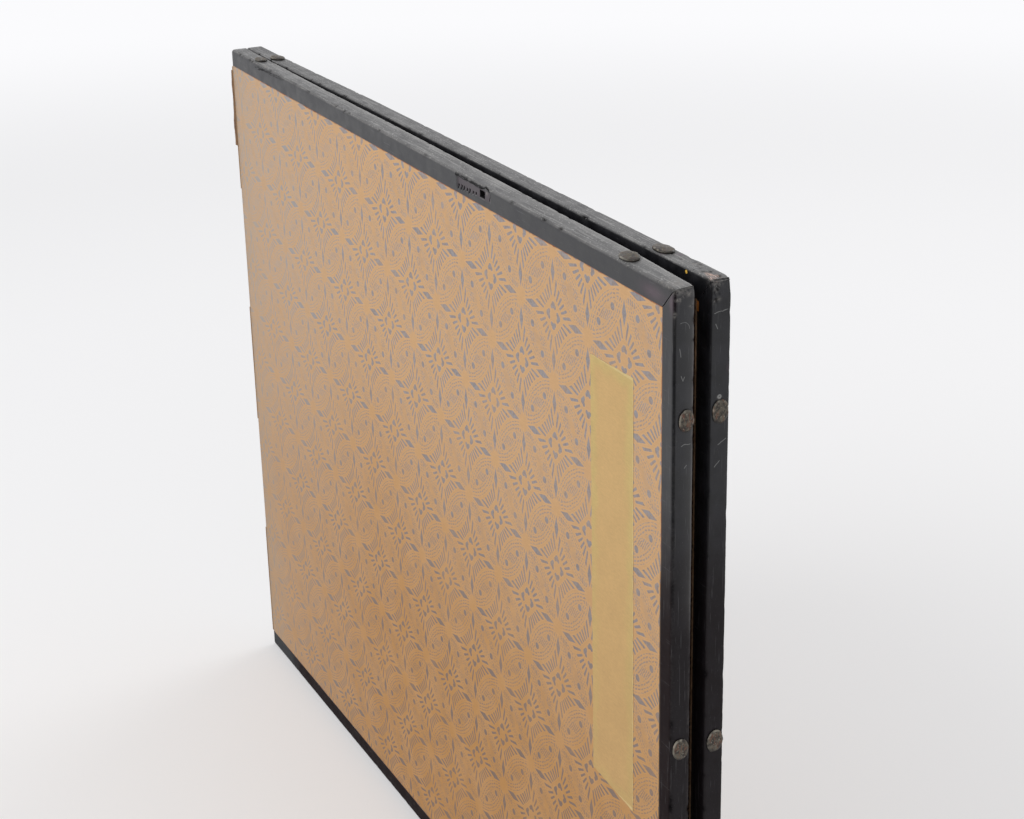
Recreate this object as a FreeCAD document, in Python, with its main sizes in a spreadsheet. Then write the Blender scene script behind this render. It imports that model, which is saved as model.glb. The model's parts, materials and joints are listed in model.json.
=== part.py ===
import FreeCAD, Part
import os
import Sketcher

# Two-leaf folding screen, standing almost shut, in millimetres.
# X runs from the hinge end to the outer ends, Y from the back of the left leaf to the back of the
# right one, and Z up from the floor. The origin is on the floor, midway along the leaves and midway
# between them. The right leaf is the mirror image of the left one in the plane y = 0.

doc = FreeCAD.newDocument("screen")

SIZES = (
    # the leaves
    ("leaf_width", 909.0, "hinge edge to outer edge"),
    ("leaf_height", 698.0, "floor to the top of the frame"),
    ("leaf_depth", 16.0, "frame, painted face to back face"),
    ("rest_opening", 0.77, "angle between the leaves as they stand, in degrees"),
    ("face_gap", 0.4, "middle plane to the frame's painted face when shut"),
    ("edge_gap", 0.4, "hinge line to the edge of a leaf"),
    # the lacquered frame
    ("rail_height", 17.0, "top and bottom rails"),
    ("stile_width", 16.0, "outer stile"),
    ("back_round", 3.0, "worn arris round the back face"),
    ("face_round", 1.5, "arris round the painted face"),
    # papers and brocade
    ("paper_step", 0.3, "frame's face to the paper below it"),
    ("finish_thickness", 0.2, "outermost paper, gold ground and brocade"),
    ("liner_thickness", 0.3, "layered lining paper under them"),
    ("brocade_width", 24.0, "brocade border round the gold ground"),
    # the wooden core
    ("bar_width", 24.0, "bars round the edge of the core"),
    ("strip_width", 9.0, "thin strips of the lattice"),
    ("upright_count", 3, "upright strips"),
    ("cross_count", 3, "strips that cross them"),
    # the oval studs and their shanks
    ("rail_stud_length", 22.0, "along the rail"),
    ("stile_stud_length", 18.0, "along the stile"),
    ("stud_width", 13.5, "across the frame"),
    ("stud_height", 2.0, "crown of the dome above the frame"),
    ("shank_radius", 1.2, "square-cut shank, taken as round"),
    ("shank_length", 30.0, "through the frame into the core"),
    ("shank_clearance", 0.05, "hole larger than the shank, all round"),
    ("rail_stud_hinge_inset", 69.0, "hinge edge to the first rail stud"),
    ("rail_stud_outer_inset", 76.0, "outer edge to the second rail stud"),
    ("stile_stud_top_inset", 96.0, "top of the frame to the first stile stud"),
    ("stile_stud_foot_inset", 79.0, "floor to the last stile stud"),
    ("stile_stud_count", 3, "studs on a stile"),
    # the plain nails under the bottom rail
    ("nail_head_radius", 3.0, "flat head"),
    ("nail_head_height", 1.0, "flat head"),
    ("nail_sink", 0.5, "underside of the rail to the head"),
    # the paper hinge
    ("hinge_paper_thickness", 0.3, "layered hinge paper"),
    ("hinge_paper_count", 5, "papers in turn, one way and the other"),
    ("hinge_paper_space", 1.0, "between one paper and the next"),
    ("hinge_paper_relief", 0.1, "paper short of the hinge line"),
    # the torn flake of hinge paper
    ("flake_reach", 9.5, "beyond the hinge edge"),
    ("flake_height", 81.0, "along the edge"),
    ("flake_top_inset", 22.0, "top of the frame to the flake"),
    ("flake_thickness", 0.2, "one layer"),
    # the blank slip pasted on the back of the left leaf
    ("slip_width", 64.0, "across"),
    ("slip_inner_height", 347.5, "long edge nearer the hinge"),
    ("slip_outer_height", 357.0, "long edge nearer the stile"),
    ("slip_outer_inset", 56.5, "outer edge of the leaf to the slip"),
    ("slip_top_inset", 84.0, "top of the frame to the slip's highest corner"),
    ("slip_top_slope", 4.0, "its top edge falls this much towards the hinge"),
    ("slip_thickness", 0.15, "one layer"),
)


class Size:
    """A size: its value, and the text of the expression that binds a property to it."""

    def __init__(self, value, text):
        self.value = value
        self.text = text

    def joined(self, sign, other, value):
        other_text = other.text if isinstance(other, Size) else str(other)
        return Size(value, f"({self.text} {sign} {other_text})")

    def __add__(self, other):
        return self.joined("+", other, self.value + plain(other))

    def __sub__(self, other):
        return self.joined("-", other, self.value - plain(other))

    def __mul__(self, other):
        return self.joined("*", other, self.value * plain(other))

    def __truediv__(self, other):
        return self.joined("/", other, self.value / plain(other))


def plain(size):
    """The bare number behind a size."""
    return size.value if isinstance(size, Size) else size


def write_sheet():
    """Write the driving sizes into the sheet, and hand them back by name."""
    sheet = doc.addObject("Spreadsheet::Sheet", "sizes")
    for row, (alias, value, meaning) in enumerate(SIZES, start=1):
        sheet.set(f"A{row}", str(value))
        sheet.setAlias(f"A{row}", alias)
        sheet.set(f"B{row}", meaning)
    doc.recompute()
    return {alias: Size(float(sheet.get(alias)), f"sizes.{alias}") for alias, _, _ in SIZES}


size = write_sheet()
ZERO = Size(0.0, "0")

leaf_width = size["leaf_width"]
leaf_height = size["leaf_height"]
leaf_depth = size["leaf_depth"]
face_gap = size["face_gap"]
edge_gap = size["edge_gap"]
rail_height = size["rail_height"]
stile_width = size["stile_width"]
bar_width = size["bar_width"]
strip_width = size["strip_width"]
liner = size["liner_thickness"]
finish = size["finish_thickness"]

# The flake's ragged outline, as shares of its width and of its height.
FLAKE_SHARES = (
    (1, 0),
    (1, 1),
    (0.42, 0.98),
    (0.36, 0.45),
    (0.16, 0.36),
    (0.05, 0.2),
    (0.14, 0.1),
    (0, 0.04),
    (0.34, 0),
)

# In a leaf's own frame x runs from its hinge edge, y from its back face, and z up from the floor.
panel_width = leaf_width - stile_width
panel_height = leaf_height - rail_height * 2
core_back = size["paper_step"] + finish + liner
core_depth = leaf_depth - core_back * 2
core_width = panel_width - liner
clear_width = core_width - bar_width * 2
clear_height = panel_height - bar_width * 2


def vector(x, y, z):
    """A point from three sizes."""
    return FreeCAD.Vector(plain(x), plain(y), plain(z))


def moved(x, y, z, turn=None):
    """A placement at a point, turned if a rotation is given."""
    return FreeCAD.Placement(vector(x, y, z), turn or FreeCAD.Rotation())


def leaf_placement():
    """The left leaf's frame: its back towards -Y, turned about the hinge line to stand ajar."""
    corner = moved(leaf_width / -2, ZERO - face_gap - leaf_depth, ZERO)
    turn = FreeCAD.Rotation(FreeCAD.Vector(0, 0, 1), plain(size["rest_opening"] / -2))
    hinge = vector(leaf_width / -2 - edge_gap, ZERO, ZERO)
    return FreeCAD.Placement(FreeCAD.Vector(0, 0, 0), turn, hinge) * corner


LEFT_LEAF = leaf_placement()
ALONG_X = FreeCAD.Rotation(FreeCAD.Vector(0, 1, 0), 90)
UPRIGHT = FreeCAD.Rotation(FreeCAD.Vector(0, 1, 0), -90)
DOWNWARD = FreeCAD.Rotation(FreeCAD.Vector(1, 0, 0), 180)

parts = []


def keep(item, label, place=None):
    """Count an object as a sub-part, and stand it in the left leaf."""
    item.Label = label
    item.Placement = LEFT_LEAF * (place or FreeCAD.Placement())
    parts.append(item)
    return item


def mirror(item, label):
    """The same sub-part on the other side of the middle plane."""
    twin = doc.addObject("Part::Mirroring", label)
    twin.Source = item
    twin.Normal = FreeCAD.Vector(0, 1, 0)
    twin.Label = label
    return twin


def box(label, length, depth, height):
    """A plain block whose three sides follow the sheet."""
    block = doc.addObject("Part::Box", label)
    block.setExpression("Length", length.text)
    block.setExpression("Width", depth.text)
    block.setExpression("Height", height.text)
    return block


def plane_of(body, role):
    """One of a body's own origin planes."""
    return next(f for f in body.Origin.OriginFeatures if f.Role == role)


def pin_corner(sketch, line, number, x, y):
    """Hold one corner of an outline at two sizes from the sketch's axes."""
    for kind, axis, distance in (("X", -2, x), ("Y", -1, y)):
        if distance.value == 0:
            sketch.addConstraint(Sketcher.Constraint("PointOnObject", line, 1, axis))
            continue
        index = sketch.addConstraint(
            Sketcher.Constraint(f"Distance{kind}", -1, 1, line, 1, distance.value)
        )
        name = f"corner_{number}_{kind.lower()}"
        sketch.renameConstraint(index, name)
        sketch.setExpression(f"Constraints.{name}", distance.text)


def outline(body, role, corners):
    """A closed outline of straight lines on one of the body's planes, each corner bound."""
    sketch = body.newObject("Sketcher::SketchObject", f"{body.Name}_outline")
    sketch.AttachmentSupport = [(plane_of(body, role), "")]
    sketch.MapMode = "FlatFace"
    spots = [vector(x, y, ZERO) for x, y in corners]
    count = len(spots)
    for i in range(count):
        sketch.addGeometry(Part.LineSegment(spots[i], spots[(i + 1) % count]), False)
    for i in range(count):
        sketch.addConstraint(Sketcher.Constraint("Coincident", i, 2, (i + 1) % count, 1))
    for i, (x, y) in enumerate(corners):
        pin_corner(sketch, i, i, x, y)
    return sketch


def new_body(label):
    return doc.addObject("PartDesign::Body", label)


def pad(body, sketch, length, backwards=False):
    """Raise an outline into a solid."""
    feature = body.newObject("PartDesign::Pad", f"{body.Name}_pad")
    feature.Profile = sketch
    feature.setExpression("Length", length.text)
    feature.Reversed = backwards
    doc.recompute()
    return feature


def cut_away(body, sketch, depth, backwards=False):
    """Cut an outline into the solid, and make sure that it took something away."""
    before = body.Shape.Volume
    feature = body.newObject("PartDesign::Pocket", f"{body.Name}_cut")
    feature.Profile = sketch
    feature.setExpression("Length", depth.text)
    feature.Reversed = backwards
    doc.recompute()
    if not body.Shape.Volume < before:
        raise RuntimeError(f"{body.Label}: a cut points away from the solid")
    return feature


def edge_at(shape, point):
    """The name of the edge that passes through a point."""
    spot = Part.Vertex(point)
    gaps = [edge.distToShape(spot)[0] for edge in shape.Edges]
    return f"Edge{gaps.index(min(gaps)) + 1}"


def soften(body, point, radius):
    """Round the edge that passes through a point."""
    base = body.Tip
    feature = body.newObject("PartDesign::Fillet", f"{body.Name}_arris")
    feature.Base = (base, [edge_at(base.Shape, point)])
    feature.setExpression("Radius", radius.text)
    body.Tip = feature
    doc.recompute()


def rail_blank(label, outer_at_top):
    """A rail before its holes are bored: x from the hinge edge, its outer face at the top or foot."""
    body = new_body(f"{label}_blank")
    section = [(ZERO, ZERO), (leaf_depth, ZERO), (leaf_depth, rail_height), (ZERO, rail_height)]
    pad(body, outline(body, "YZ_Plane", section), leaf_width)
    outer = rail_height if outer_at_top else ZERO
    inner = ZERO if outer_at_top else rail_height
    middle = leaf_width / 2
    soften(body, vector(middle, ZERO, outer), size["back_round"])
    soften(body, vector(middle, leaf_depth, outer), size["face_round"])
    mitre = [(panel_width, inner), (leaf_width, inner), (leaf_width, outer)]
    cut_away(body, outline(body, "XZ_Plane", mitre), leaf_depth)
    return body


def stile_blank(label):
    """The outer stile before its holes are bored: its outer face looks along +X."""
    body = new_body(f"{label}_blank")
    section = [(ZERO, ZERO), (stile_width, ZERO), (stile_width, leaf_depth), (ZERO, leaf_depth)]
    pad(body, outline(body, "XY_Plane", section), leaf_height)
    middle = leaf_height / 2
    soften(body, vector(stile_width, ZERO, middle), size["back_round"])
    soften(body, vector(stile_width, leaf_depth, middle), size["face_round"])
    top = [(ZERO, leaf_height - rail_height), (stile_width, leaf_height), (ZERO, leaf_height)]
    cut_away(body, outline(body, "XZ_Plane", top), leaf_depth)
    foot = [(ZERO, rail_height), (stile_width, ZERO), (ZERO, ZERO)]
    cut_away(body, outline(body, "XZ_Plane", foot), leaf_depth)
    return body


def rod(label, radius, length, place):
    """A round rod from a place along its own z."""
    item = doc.addObject("Part::Cylinder", label)
    item.setExpression("Radius", radius.text)
    item.setExpression("Height", length.text)
    item.Placement = place
    return item


def group(label, kind, items):
    """Several shapes as one object: fused into one solid, or kept as separate solids."""
    result = doc.addObject(kind, label)
    if kind == "Part::Compound":
        result.Links = items
    else:
        result.Shapes = items
    return result


def bored(label, blank, drills):
    """A piece of the frame or core with the holes that its nails pass through."""
    result = doc.addObject("Part::Cut", label)
    result.Base = blank
    result.Tool = group(f"{label}_drills", "Part::Compound", drills)
    return result


def drill(label, place):
    """The hole for one shank, open at the face that the nail enters by."""
    radius = size["shank_radius"] + size["shank_clearance"]
    return rod(label, radius, size["shank_length"], place)


def into(place):
    """A nail's own direction: from the head's seat down into the wood."""
    return place * FreeCAD.Placement(FreeCAD.Vector(0, 0, 0), DOWNWARD)


def stud(label, length, place):
    """An oval domed stud: its head stands on the frame along the place's z, its shank goes in."""
    dome = doc.addObject("Part::Ellipsoid", f"{label}_dome")
    dome.setExpression("Radius1", size["stud_height"].text)
    dome.setExpression("Radius2", (length / 2).text)
    dome.setExpression("Radius3", (size["stud_width"] / 2).text)
    dome.Angle1 = 0
    dome.Placement = place
    shank = rod(f"{label}_shank", size["shank_radius"], size["shank_length"], into(place))
    return group(label, "Part::MultiFuse", [dome, shank])


def sunk_nail(label, place):
    """A flat-headed nail sunk into the wood: the place is on the face that it enters by."""
    seat = into(place) * moved(ZERO, ZERO, size["nail_sink"])
    head = rod(f"{label}_head", size["nail_head_radius"], size["nail_head_height"], seat)
    shank_end = size["shank_length"] - size["nail_sink"]
    shank = rod(f"{label}_shank", size["shank_radius"], shank_end, seat)
    return group(label, "Part::MultiFuse", [head, shank])


def sunk_drill(label, place):
    """The hole for one sunk nail: a wide mouth for the head over a narrow hole for the shank."""
    radius = size["nail_head_radius"] + size["shank_clearance"]
    depth = size["nail_sink"] + size["nail_head_height"]
    mouth = rod(f"{label}_mouth", radius, depth, into(place))
    return [mouth, drill(f"{label}_hole", into(place))]


def rail_spots():
    """Where the nails go along a rail."""
    return [size["rail_stud_hinge_inset"], leaf_width - size["rail_stud_outer_inset"]]


def stile_spots():
    """How high the studs of a stile stand, evenly spaced from the first to the last."""
    count = int(plain(size["stile_stud_count"]))
    first = leaf_height - size["stile_stud_top_inset"]
    pitch = (first - size["stile_stud_foot_inset"]) / (count - 1)
    return [first - pitch * i for i in range(count)]


def top_rail_pieces():
    """Top rail, the bar of the core below it, and the two studs through both."""
    middle = leaf_depth / 2
    places = [moved(x, middle, leaf_height) for x in rail_spots()]
    blank = rail_blank("left_top_rail", outer_at_top=True)
    blank.Placement = moved(ZERO, ZERO, leaf_height - rail_height)
    drills = [drill(f"top_rail_hole_{i}", into(place)) for i, place in enumerate(places)]
    keep(bored("left_top_rail", blank, drills), "left_top_rail")
    bar = box("core_top_bar_blank", core_width, core_depth, bar_width)
    bar.Placement = moved(liner, core_back, leaf_height - rail_height - bar_width)
    drills = [drill(f"top_bar_hole_{i}", into(place)) for i, place in enumerate(places)]
    keep(bored("left_core_top_bar", bar, drills), "left_core_top_bar")
    studs = [stud(f"rail_stud_{i}", size["rail_stud_length"], place) for i, place in enumerate(places)]
    keep(group("left_rail_studs", "Part::Compound", studs), "left_rail_studs")


def bottom_rail_pieces():
    """Bottom rail, the bar of the core above it, and the two sunk nails through both."""
    middle = leaf_depth / 2
    places = [moved(x, middle, ZERO, DOWNWARD) for x in rail_spots()]
    blank = rail_blank("left_bottom_rail", outer_at_top=False)
    drills = [tool for i, place in enumerate(places) for tool in sunk_drill(f"foot_{i}", place)]
    keep(bored("left_bottom_rail", blank, drills), "left_bottom_rail")
    bar = box("core_bottom_bar_blank", core_width, core_depth, bar_width)
    bar.Placement = moved(liner, core_back, rail_height)
    drills = [drill(f"bottom_bar_hole_{i}", into(place)) for i, place in enumerate(places)]
    keep(bored("left_core_bottom_bar", bar, drills), "left_core_bottom_bar")
    nails = [sunk_nail(f"foot_nail_{i}", place) for i, place in enumerate(places)]
    keep(group("left_bottom_nails", "Part::Compound", nails), "left_bottom_nails")


def stile_pieces():
    """Outer stile, the bar of the core beside it, and the studs through both."""
    middle = leaf_depth / 2
    places = [moved(leaf_width, middle, z, ALONG_X) for z in stile_spots()]
    blank = stile_blank("left_outer_stile")
    blank.Placement = moved(panel_width, ZERO, ZERO)
    drills = [drill(f"stile_hole_{i}", into(place)) for i, place in enumerate(places)]
    keep(bored("left_outer_stile", blank, drills), "left_outer_stile")
    bar = box("core_outer_bar_blank", bar_width, core_depth, clear_height)
    bar.Placement = moved(panel_width - bar_width, core_back, rail_height + bar_width)
    drills = [drill(f"outer_bar_hole_{i}", into(place)) for i, place in enumerate(places)]
    keep(bored("left_core_outer_bar", bar, drills), "left_core_outer_bar")
    studs = [stud(f"stile_stud_{i}", size["stile_stud_length"], place) for i, place in enumerate(places)]
    keep(group("left_stile_studs", "Part::Compound", studs), "left_stile_studs")


def hinge_bar():
    """The bar of the core at the hinge edge."""
    bar = box("left_core_hinge_bar", bar_width, core_depth, clear_height)
    keep(bar, "left_core_hinge_bar", moved(liner, core_back, rail_height + bar_width))


def lapped_strip(label, length, lap_from, bay, laps):
    """A strip of the lattice along x, halved into the strips that cross it."""
    body = new_body(label)
    section = [(ZERO, ZERO), (length, ZERO), (length, core_depth), (ZERO, core_depth)]
    pad(body, outline(body, "XY_Plane", section), strip_width)
    lap_to = lap_from + core_depth / 2
    start = bay
    end = bay + strip_width
    notch = outline(body, "XY_Plane", [(start, lap_from), (end, lap_from), (end, lap_to), (start, lap_to)])
    first = cut_away(body, notch, strip_width, backwards=True)
    row = body.newObject("PartDesign::LinearPattern", f"{label}_laps")
    row.Originals = [first]
    row.Direction = (next(f for f in body.Origin.OriginFeatures if f.Role == "X_Axis"), [""])
    row.setExpression("Length", ((bay + strip_width) * (laps - 1)).text)
    row.Occurrences = laps
    body.Tip = row
    return body


def lattice():
    """The thin strips inside the core: uprights, and cross strips halved into them."""
    uprights = int(plain(size["upright_count"]))
    crosses = int(plain(size["cross_count"]))
    bay_wide = (clear_width - strip_width * uprights) / (uprights + 1)
    bay_high = (clear_height - strip_width * crosses) / (crosses + 1)
    left = liner + bar_width
    low = rail_height + bar_width
    for i in range(uprights):
        label = f"left_core_upright_{i + 1}"
        strip = lapped_strip(label, clear_height, ZERO, bay_high, crosses)
        x = left + (bay_wide + strip_width) * (i + 1)
        keep(strip, label, moved(x, core_back, low, UPRIGHT))
    for i in range(crosses):
        label = f"left_core_cross_{i + 1}"
        strip = lapped_strip(label, clear_width, core_depth / 2, bay_wide, uprights)
        z = low + bay_high + (bay_high + strip_width) * i
        keep(strip, label, moved(left, core_back, z))


def sheet_on_leaf(label, x, y, z, width, height, thickness):
    """A flat sheet pasted on the leaf."""
    keep(box(label, width, thickness, height), label, moved(x, y, z))


def papers():
    """Lining papers, patterned back paper, and the gold ground with its brocade border."""
    step = size["paper_step"]
    brocade = size["brocade_width"]
    front_liner = leaf_depth - core_back
    front = leaf_depth - step - finish
    outer_strip = panel_width - brocade
    inner_height = panel_height - brocade * 2
    inner_low = rail_height + brocade
    top_strip = leaf_height - rail_height - brocade
    sheet_on_leaf("left_edge_paper", ZERO, core_back, rail_height, liner, panel_height, core_depth)
    sheet_on_leaf("left_back_lining", ZERO, step + finish, rail_height, panel_width, panel_height, liner)
    sheet_on_leaf("left_face_lining", ZERO, front_liner, rail_height, panel_width, panel_height, liner)
    sheet_on_leaf("left_back_paper", ZERO, step, rail_height, panel_width, panel_height, finish)
    sheet_on_leaf("left_gold_ground", ZERO, front, inner_low, outer_strip, inner_height, finish)
    sheet_on_leaf("left_brocade_top", ZERO, front, top_strip, panel_width, brocade, finish)
    sheet_on_leaf("left_brocade_bottom", ZERO, front, rail_height, panel_width, brocade, finish)
    sheet_on_leaf("left_brocade_outer", outer_strip, front, inner_low, brocade, inner_height, finish)


def slip():
    """The long blank slip on the back of the left leaf, a little out of square."""
    label = "left_back_slip"
    width = size["slip_width"]
    top = size["slip_outer_height"]
    inner_top = top - size["slip_top_slope"]
    inner_foot = inner_top - size["slip_inner_height"]
    body = new_body(label)
    corners = [(ZERO, inner_foot), (width, ZERO), (width, top), (ZERO, inner_top)]
    pad(body, outline(body, "XZ_Plane", corners), size["slip_thickness"])
    x = leaf_width - size["slip_outer_inset"] - width
    z = leaf_height - size["slip_top_inset"] - top
    keep(body, label, moved(x, size["paper_step"], z))


def flake():
    """A flake torn loose from the back margin of the topmost hinge paper."""
    label = "torn_hinge_paper"
    width = size["flake_reach"] - edge_gap + size["hinge_paper_thickness"] / 2
    tall = size["flake_height"]
    body = new_body(label)
    corners = [(width * across, tall * up) for across, up in FLAKE_SHARES]
    pad(body, outline(body, "XZ_Plane", corners), size["flake_thickness"])
    y = size["hinge_paper_relief"] - face_gap
    z = leaf_height - size["flake_top_inset"] - tall
    keep(body, label, moved(ZERO - size["flake_reach"], y, z))


def hinge_papers():
    """The papers in the hinge: each lies on one leaf's edge, the left one's and the right one's in turn."""
    count = int(plain(size["hinge_paper_count"]))
    space = size["hinge_paper_space"]
    relief = size["hinge_paper_relief"]
    thickness = size["hinge_paper_thickness"]
    pitch = (panel_height - space) / count
    depth = leaf_depth + (face_gap - relief) * 2
    for i in range(count):
        label = f"hinge_paper_{i + 1}"
        on_left = i % 2 == 0
        paper = box(label if on_left else f"{label}_seen_in_mirror", thickness, depth, pitch - space)
        z = rail_height + space + pitch * i
        keep(paper, label, moved(ZERO - edge_gap - thickness / 2, relief - face_gap, z))
        if not on_left:
            parts.remove(paper)
            paper.Label = f"{label}_seen_in_mirror"
            parts.append(mirror(paper, label))


def left_leaf():
    top_rail_pieces()
    bottom_rail_pieces()
    stile_pieces()
    hinge_bar()
    lattice()
    papers()


def right_leaf():
    """Every piece of the left leaf again, mirrored."""
    for item in list(parts):
        parts.append(mirror(item, item.Label.replace("left_", "right_", 1)))


def check():
    """Stop if any object failed, or any sub-part isn't a whole valid solid."""
    doc.recompute()
    failed = [o.Label for o in doc.Objects if "Invalid" in o.State or "Error" in o.State]
    if failed:
        raise RuntimeError(f"failed objects: {failed}")
    for item in parts:
        shape = item.Shape
        if shape.isNull() or not shape.isValid() or not shape.Solids:
            raise RuntimeError(f"{item.Label}: no valid solid")


def export():
    os.makedirs("parts", exist_ok=True)
    for item in parts:
        item.Shape.exportStep(f"parts/{item.Label}.step")


left_leaf()
right_leaf()
slip()
flake()
hinge_papers()
check()
export()
print(f"{len(parts)} sub-parts")
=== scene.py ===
import json
import math

import bmesh
import bpy
import numpy as np
from mathutils import Matrix, Vector


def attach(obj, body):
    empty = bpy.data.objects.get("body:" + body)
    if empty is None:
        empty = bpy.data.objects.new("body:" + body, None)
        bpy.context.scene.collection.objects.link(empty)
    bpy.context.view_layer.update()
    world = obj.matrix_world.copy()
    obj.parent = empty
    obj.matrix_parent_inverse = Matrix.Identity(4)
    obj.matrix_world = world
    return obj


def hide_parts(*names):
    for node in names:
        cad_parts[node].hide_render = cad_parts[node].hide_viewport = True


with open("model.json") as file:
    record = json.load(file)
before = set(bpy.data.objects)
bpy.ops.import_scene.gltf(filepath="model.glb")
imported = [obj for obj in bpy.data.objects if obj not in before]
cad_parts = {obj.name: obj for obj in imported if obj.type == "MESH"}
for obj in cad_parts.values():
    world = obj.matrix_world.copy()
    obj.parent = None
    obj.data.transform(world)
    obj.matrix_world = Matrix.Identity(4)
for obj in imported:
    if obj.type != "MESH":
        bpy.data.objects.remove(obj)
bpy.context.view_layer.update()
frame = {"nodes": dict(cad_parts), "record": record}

# The looks of the folding screen. Sizes are in millimetres until a mesh or a lamp is made.
# In a leaf's own frame x runs from its hinge edge, y from its back face, and z up from the floor.

MM = 0.001
LEAF_WIDTH = 909.0
LEAF_HEIGHT = 698.0
LEAF_DEPTH = 16.0
HALF_OPENING = math.radians(0.385)
FACE_GAP = 0.4
EDGE_GAP = 0.4
HINGE_X = -454.9
RAIL_HEIGHT = 17.0
STILE_WIDTH = 16.0
PANEL_WIDTH = LEAF_WIDTH - STILE_WIDTH
INNER_ROUND = 0.5
BACK_ROUNDS = {"left": 3.0, "right": 0.7}
FACE_ROUNDS = {"left": 0.8, "right": 1.6}
PAPER_STEP = 0.3
PAPER_THICKNESS = 0.2
RAIL_SWELL = 1.7
SWELL_FOOT, SWELL_HEAD = 684.0, 697.0
LEAVES = ("left", "right")


# Points, meshes and pieces.

def stacked(*values):
    """Values side by side along a new last axis, such as x, y and z as points."""
    return np.stack(values, -1)


def placed(points, leaf):
    """Points of a leaf's own frame, in the scene and in metres."""
    along = points[..., 0] + EDGE_GAP
    across = points[..., 1] - FACE_GAP - LEAF_DEPTH
    turn_x, turn_y = math.cos(HALF_OPENING), math.sin(HALF_OPENING)
    x = HINGE_X + along * turn_x + across * turn_y
    y = across * turn_x - along * turn_y
    if leaf == "right":
        y = -y
    z = points[..., 2] + ease(points[..., 2], SWELL_FOOT, SWELL_HEAD) * swelling(points, leaf)
    return stacked(x, y, z) * MM


def swelling(points, leaf):
    """How far a top rail has swollen upwards, in millimetres."""
    if leaf == "right":
        return RAIL_SWELL * ease(points[..., 0], 60.0, 330.0)
    middle = ease(points[..., 0], 150.0, 450.0) * (1 - 0.7 * ease(points[..., 0], 820.0, 905.0))
    return RAIL_SWELL * middle * ease(points[..., 1], 3.0, 15.0)


def lattice_noise(cells):
    """A repeatable number from 0 to 1 for each cell of a lattice."""
    mixed = np.sin(cells @ np.array([127.1, 311.7, 74.7])) * 43758.5453
    return mixed - np.floor(mixed)


def rough(points, sizes, seed=0.0):
    """Soft noise from -1 to 1 over points, with bumps about sizes across."""
    spots = points / np.array(sizes, float) + seed
    low = np.floor(spots)
    part = spots - low
    part = part * part * (3 - 2 * part)
    total = 0
    for corner in np.ndindex(2, 2, 2):
        step = np.array(corner)
        weight = np.prod(np.where(step == 1, part, 1 - part), -1)
        total = total + weight * lattice_noise(low + step)
    return total * 2 - 1


def ease(value, low, high):
    """0 below low, 1 above high, and a smooth rise between."""
    share = np.clip((value - low) / (high - low), 0, 1)
    return share * share * (3 - 2 * share)


def loft(rings):
    """A closed tube through rings of points, capped at both ends."""
    count, around, _ = rings.shape
    grid = np.arange(count * around).reshape(count, around)
    low, high = grid[:-1], grid[1:]
    quads = stacked(low, np.roll(low, -1, 1), np.roll(high, -1, 1), high)
    faces = quads.reshape(-1, 4).tolist() + [grid[0][::-1].tolist(), grid[-1].tolist()]
    return rings.reshape(-1, 3), faces


def slab(front, back):
    """A thin closed sheet between two grids of points."""
    rows, columns, _ = front.shape
    top = np.arange(rows * columns).reshape(rows, columns)
    low = top + rows * columns
    faces = []
    for grid, turn in ((top, 1), (low, -1)):
        quads = stacked(grid[:-1, :-1], grid[:-1, 1:], grid[1:, 1:], grid[1:, :-1])
        faces += quads.reshape(-1, 4)[:, ::turn].tolist()
    rim = [*top[0, :-1], *top[:-1, -1], *top[-1, :0:-1], *top[:0:-1, 0]]
    below = [*low[0, :-1], *low[:-1, -1], *low[-1, :0:-1], *low[:0:-1, 0]]
    for i in range(len(rim)):
        faces.append([rim[i], below[i], below[i - 1], rim[i - 1]])
    return np.concatenate([front.reshape(-1, 3), back.reshape(-1, 3)]), faces


def linked(name, data):
    """A new object of the scene."""
    item = bpy.data.objects.new(name, data)
    bpy.context.scene.collection.objects.link(item)
    return item


def piece(name, shape, leaf, slot, stands_for, marks=None, body=None, material=None):
    """Make a mesh of a leaf's own frame into a piece that stands for a node, and rides on a body."""
    points, faces = shape
    mesh = bpy.data.meshes.new(name)
    mesh.from_pydata(placed(points, leaf).tolist(), [], faces)
    for label, values in (marks or {}).items():
        mesh.attributes.new(label, "FLOAT", "POINT").data.foreach_set("value", values)
    work = bmesh.new()
    work.from_mesh(mesh)
    bmesh.ops.recalc_face_normals(work, faces=work.faces)
    work.to_mesh(mesh)
    work.free()
    mesh.polygons.foreach_set("use_smooth", [True] * len(mesh.polygons))
    mesh.set_sharp_from_angle(angle=math.radians(42))
    mesh.materials.append(material or materials[slot])
    item = linked(name, mesh)
    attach(item, body or f"{leaf}_leaf")
    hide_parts(stands_for)


# Materials.

OTHER_LEAF_SHIFT = 1900.0
BLEED = 0.32
# Marks that a bar carries: the last is a painted highlight, and turn and face hold painted shade.
BAR_MARKS = ("wear", "rub", "chip", "wood", "back", "turn", "face", "ridge")


def linear(colour):
    """A colour as a picture shows it, 0 to 255, as the value that a socket holds."""
    shares = [c / 255 for c in colour]
    return tuple(s / 12.92 if s < 0.04 else ((s + 0.055) / 1.055) ** 2.4 for s in shares) + (1.0,)


def arithmetic(operation, turned=False):
    """A method of a field that adds a node, with its two values changed round if asked."""
    def method(self, *others):
        values = (self, *others)
        return maths(operation, *(values[::-1] if turned else values))
    return method


class Field:
    """A value that varies over a surface: a node's output, with arithmetic that adds nodes."""

    def __init__(self, paint, socket):
        self.paint = paint
        self.socket = socket

    __add__ = arithmetic("ADD")
    __sub__ = arithmetic("SUBTRACT")
    __rsub__ = arithmetic("SUBTRACT", turned=True)
    __mul__ = arithmetic("MULTIPLY")
    __truediv__ = arithmetic("DIVIDE")
    __mod__ = arithmetic("FLOORED_MODULO")
    __abs__ = arithmetic("ABSOLUTE")


def maths(operation, *values):
    """One sum, in the material that its fields belong to."""
    paint = next(value.paint for value in values if isinstance(value, Field))
    return paint.node("ShaderNodeMath", operation, *values)


def least(first, *others):
    for other in others:
        first = maths("MINIMUM", first, other)
    return first


def most(first, *others):
    for other in others:
        first = maths("MAXIMUM", first, other)
    return first


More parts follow.
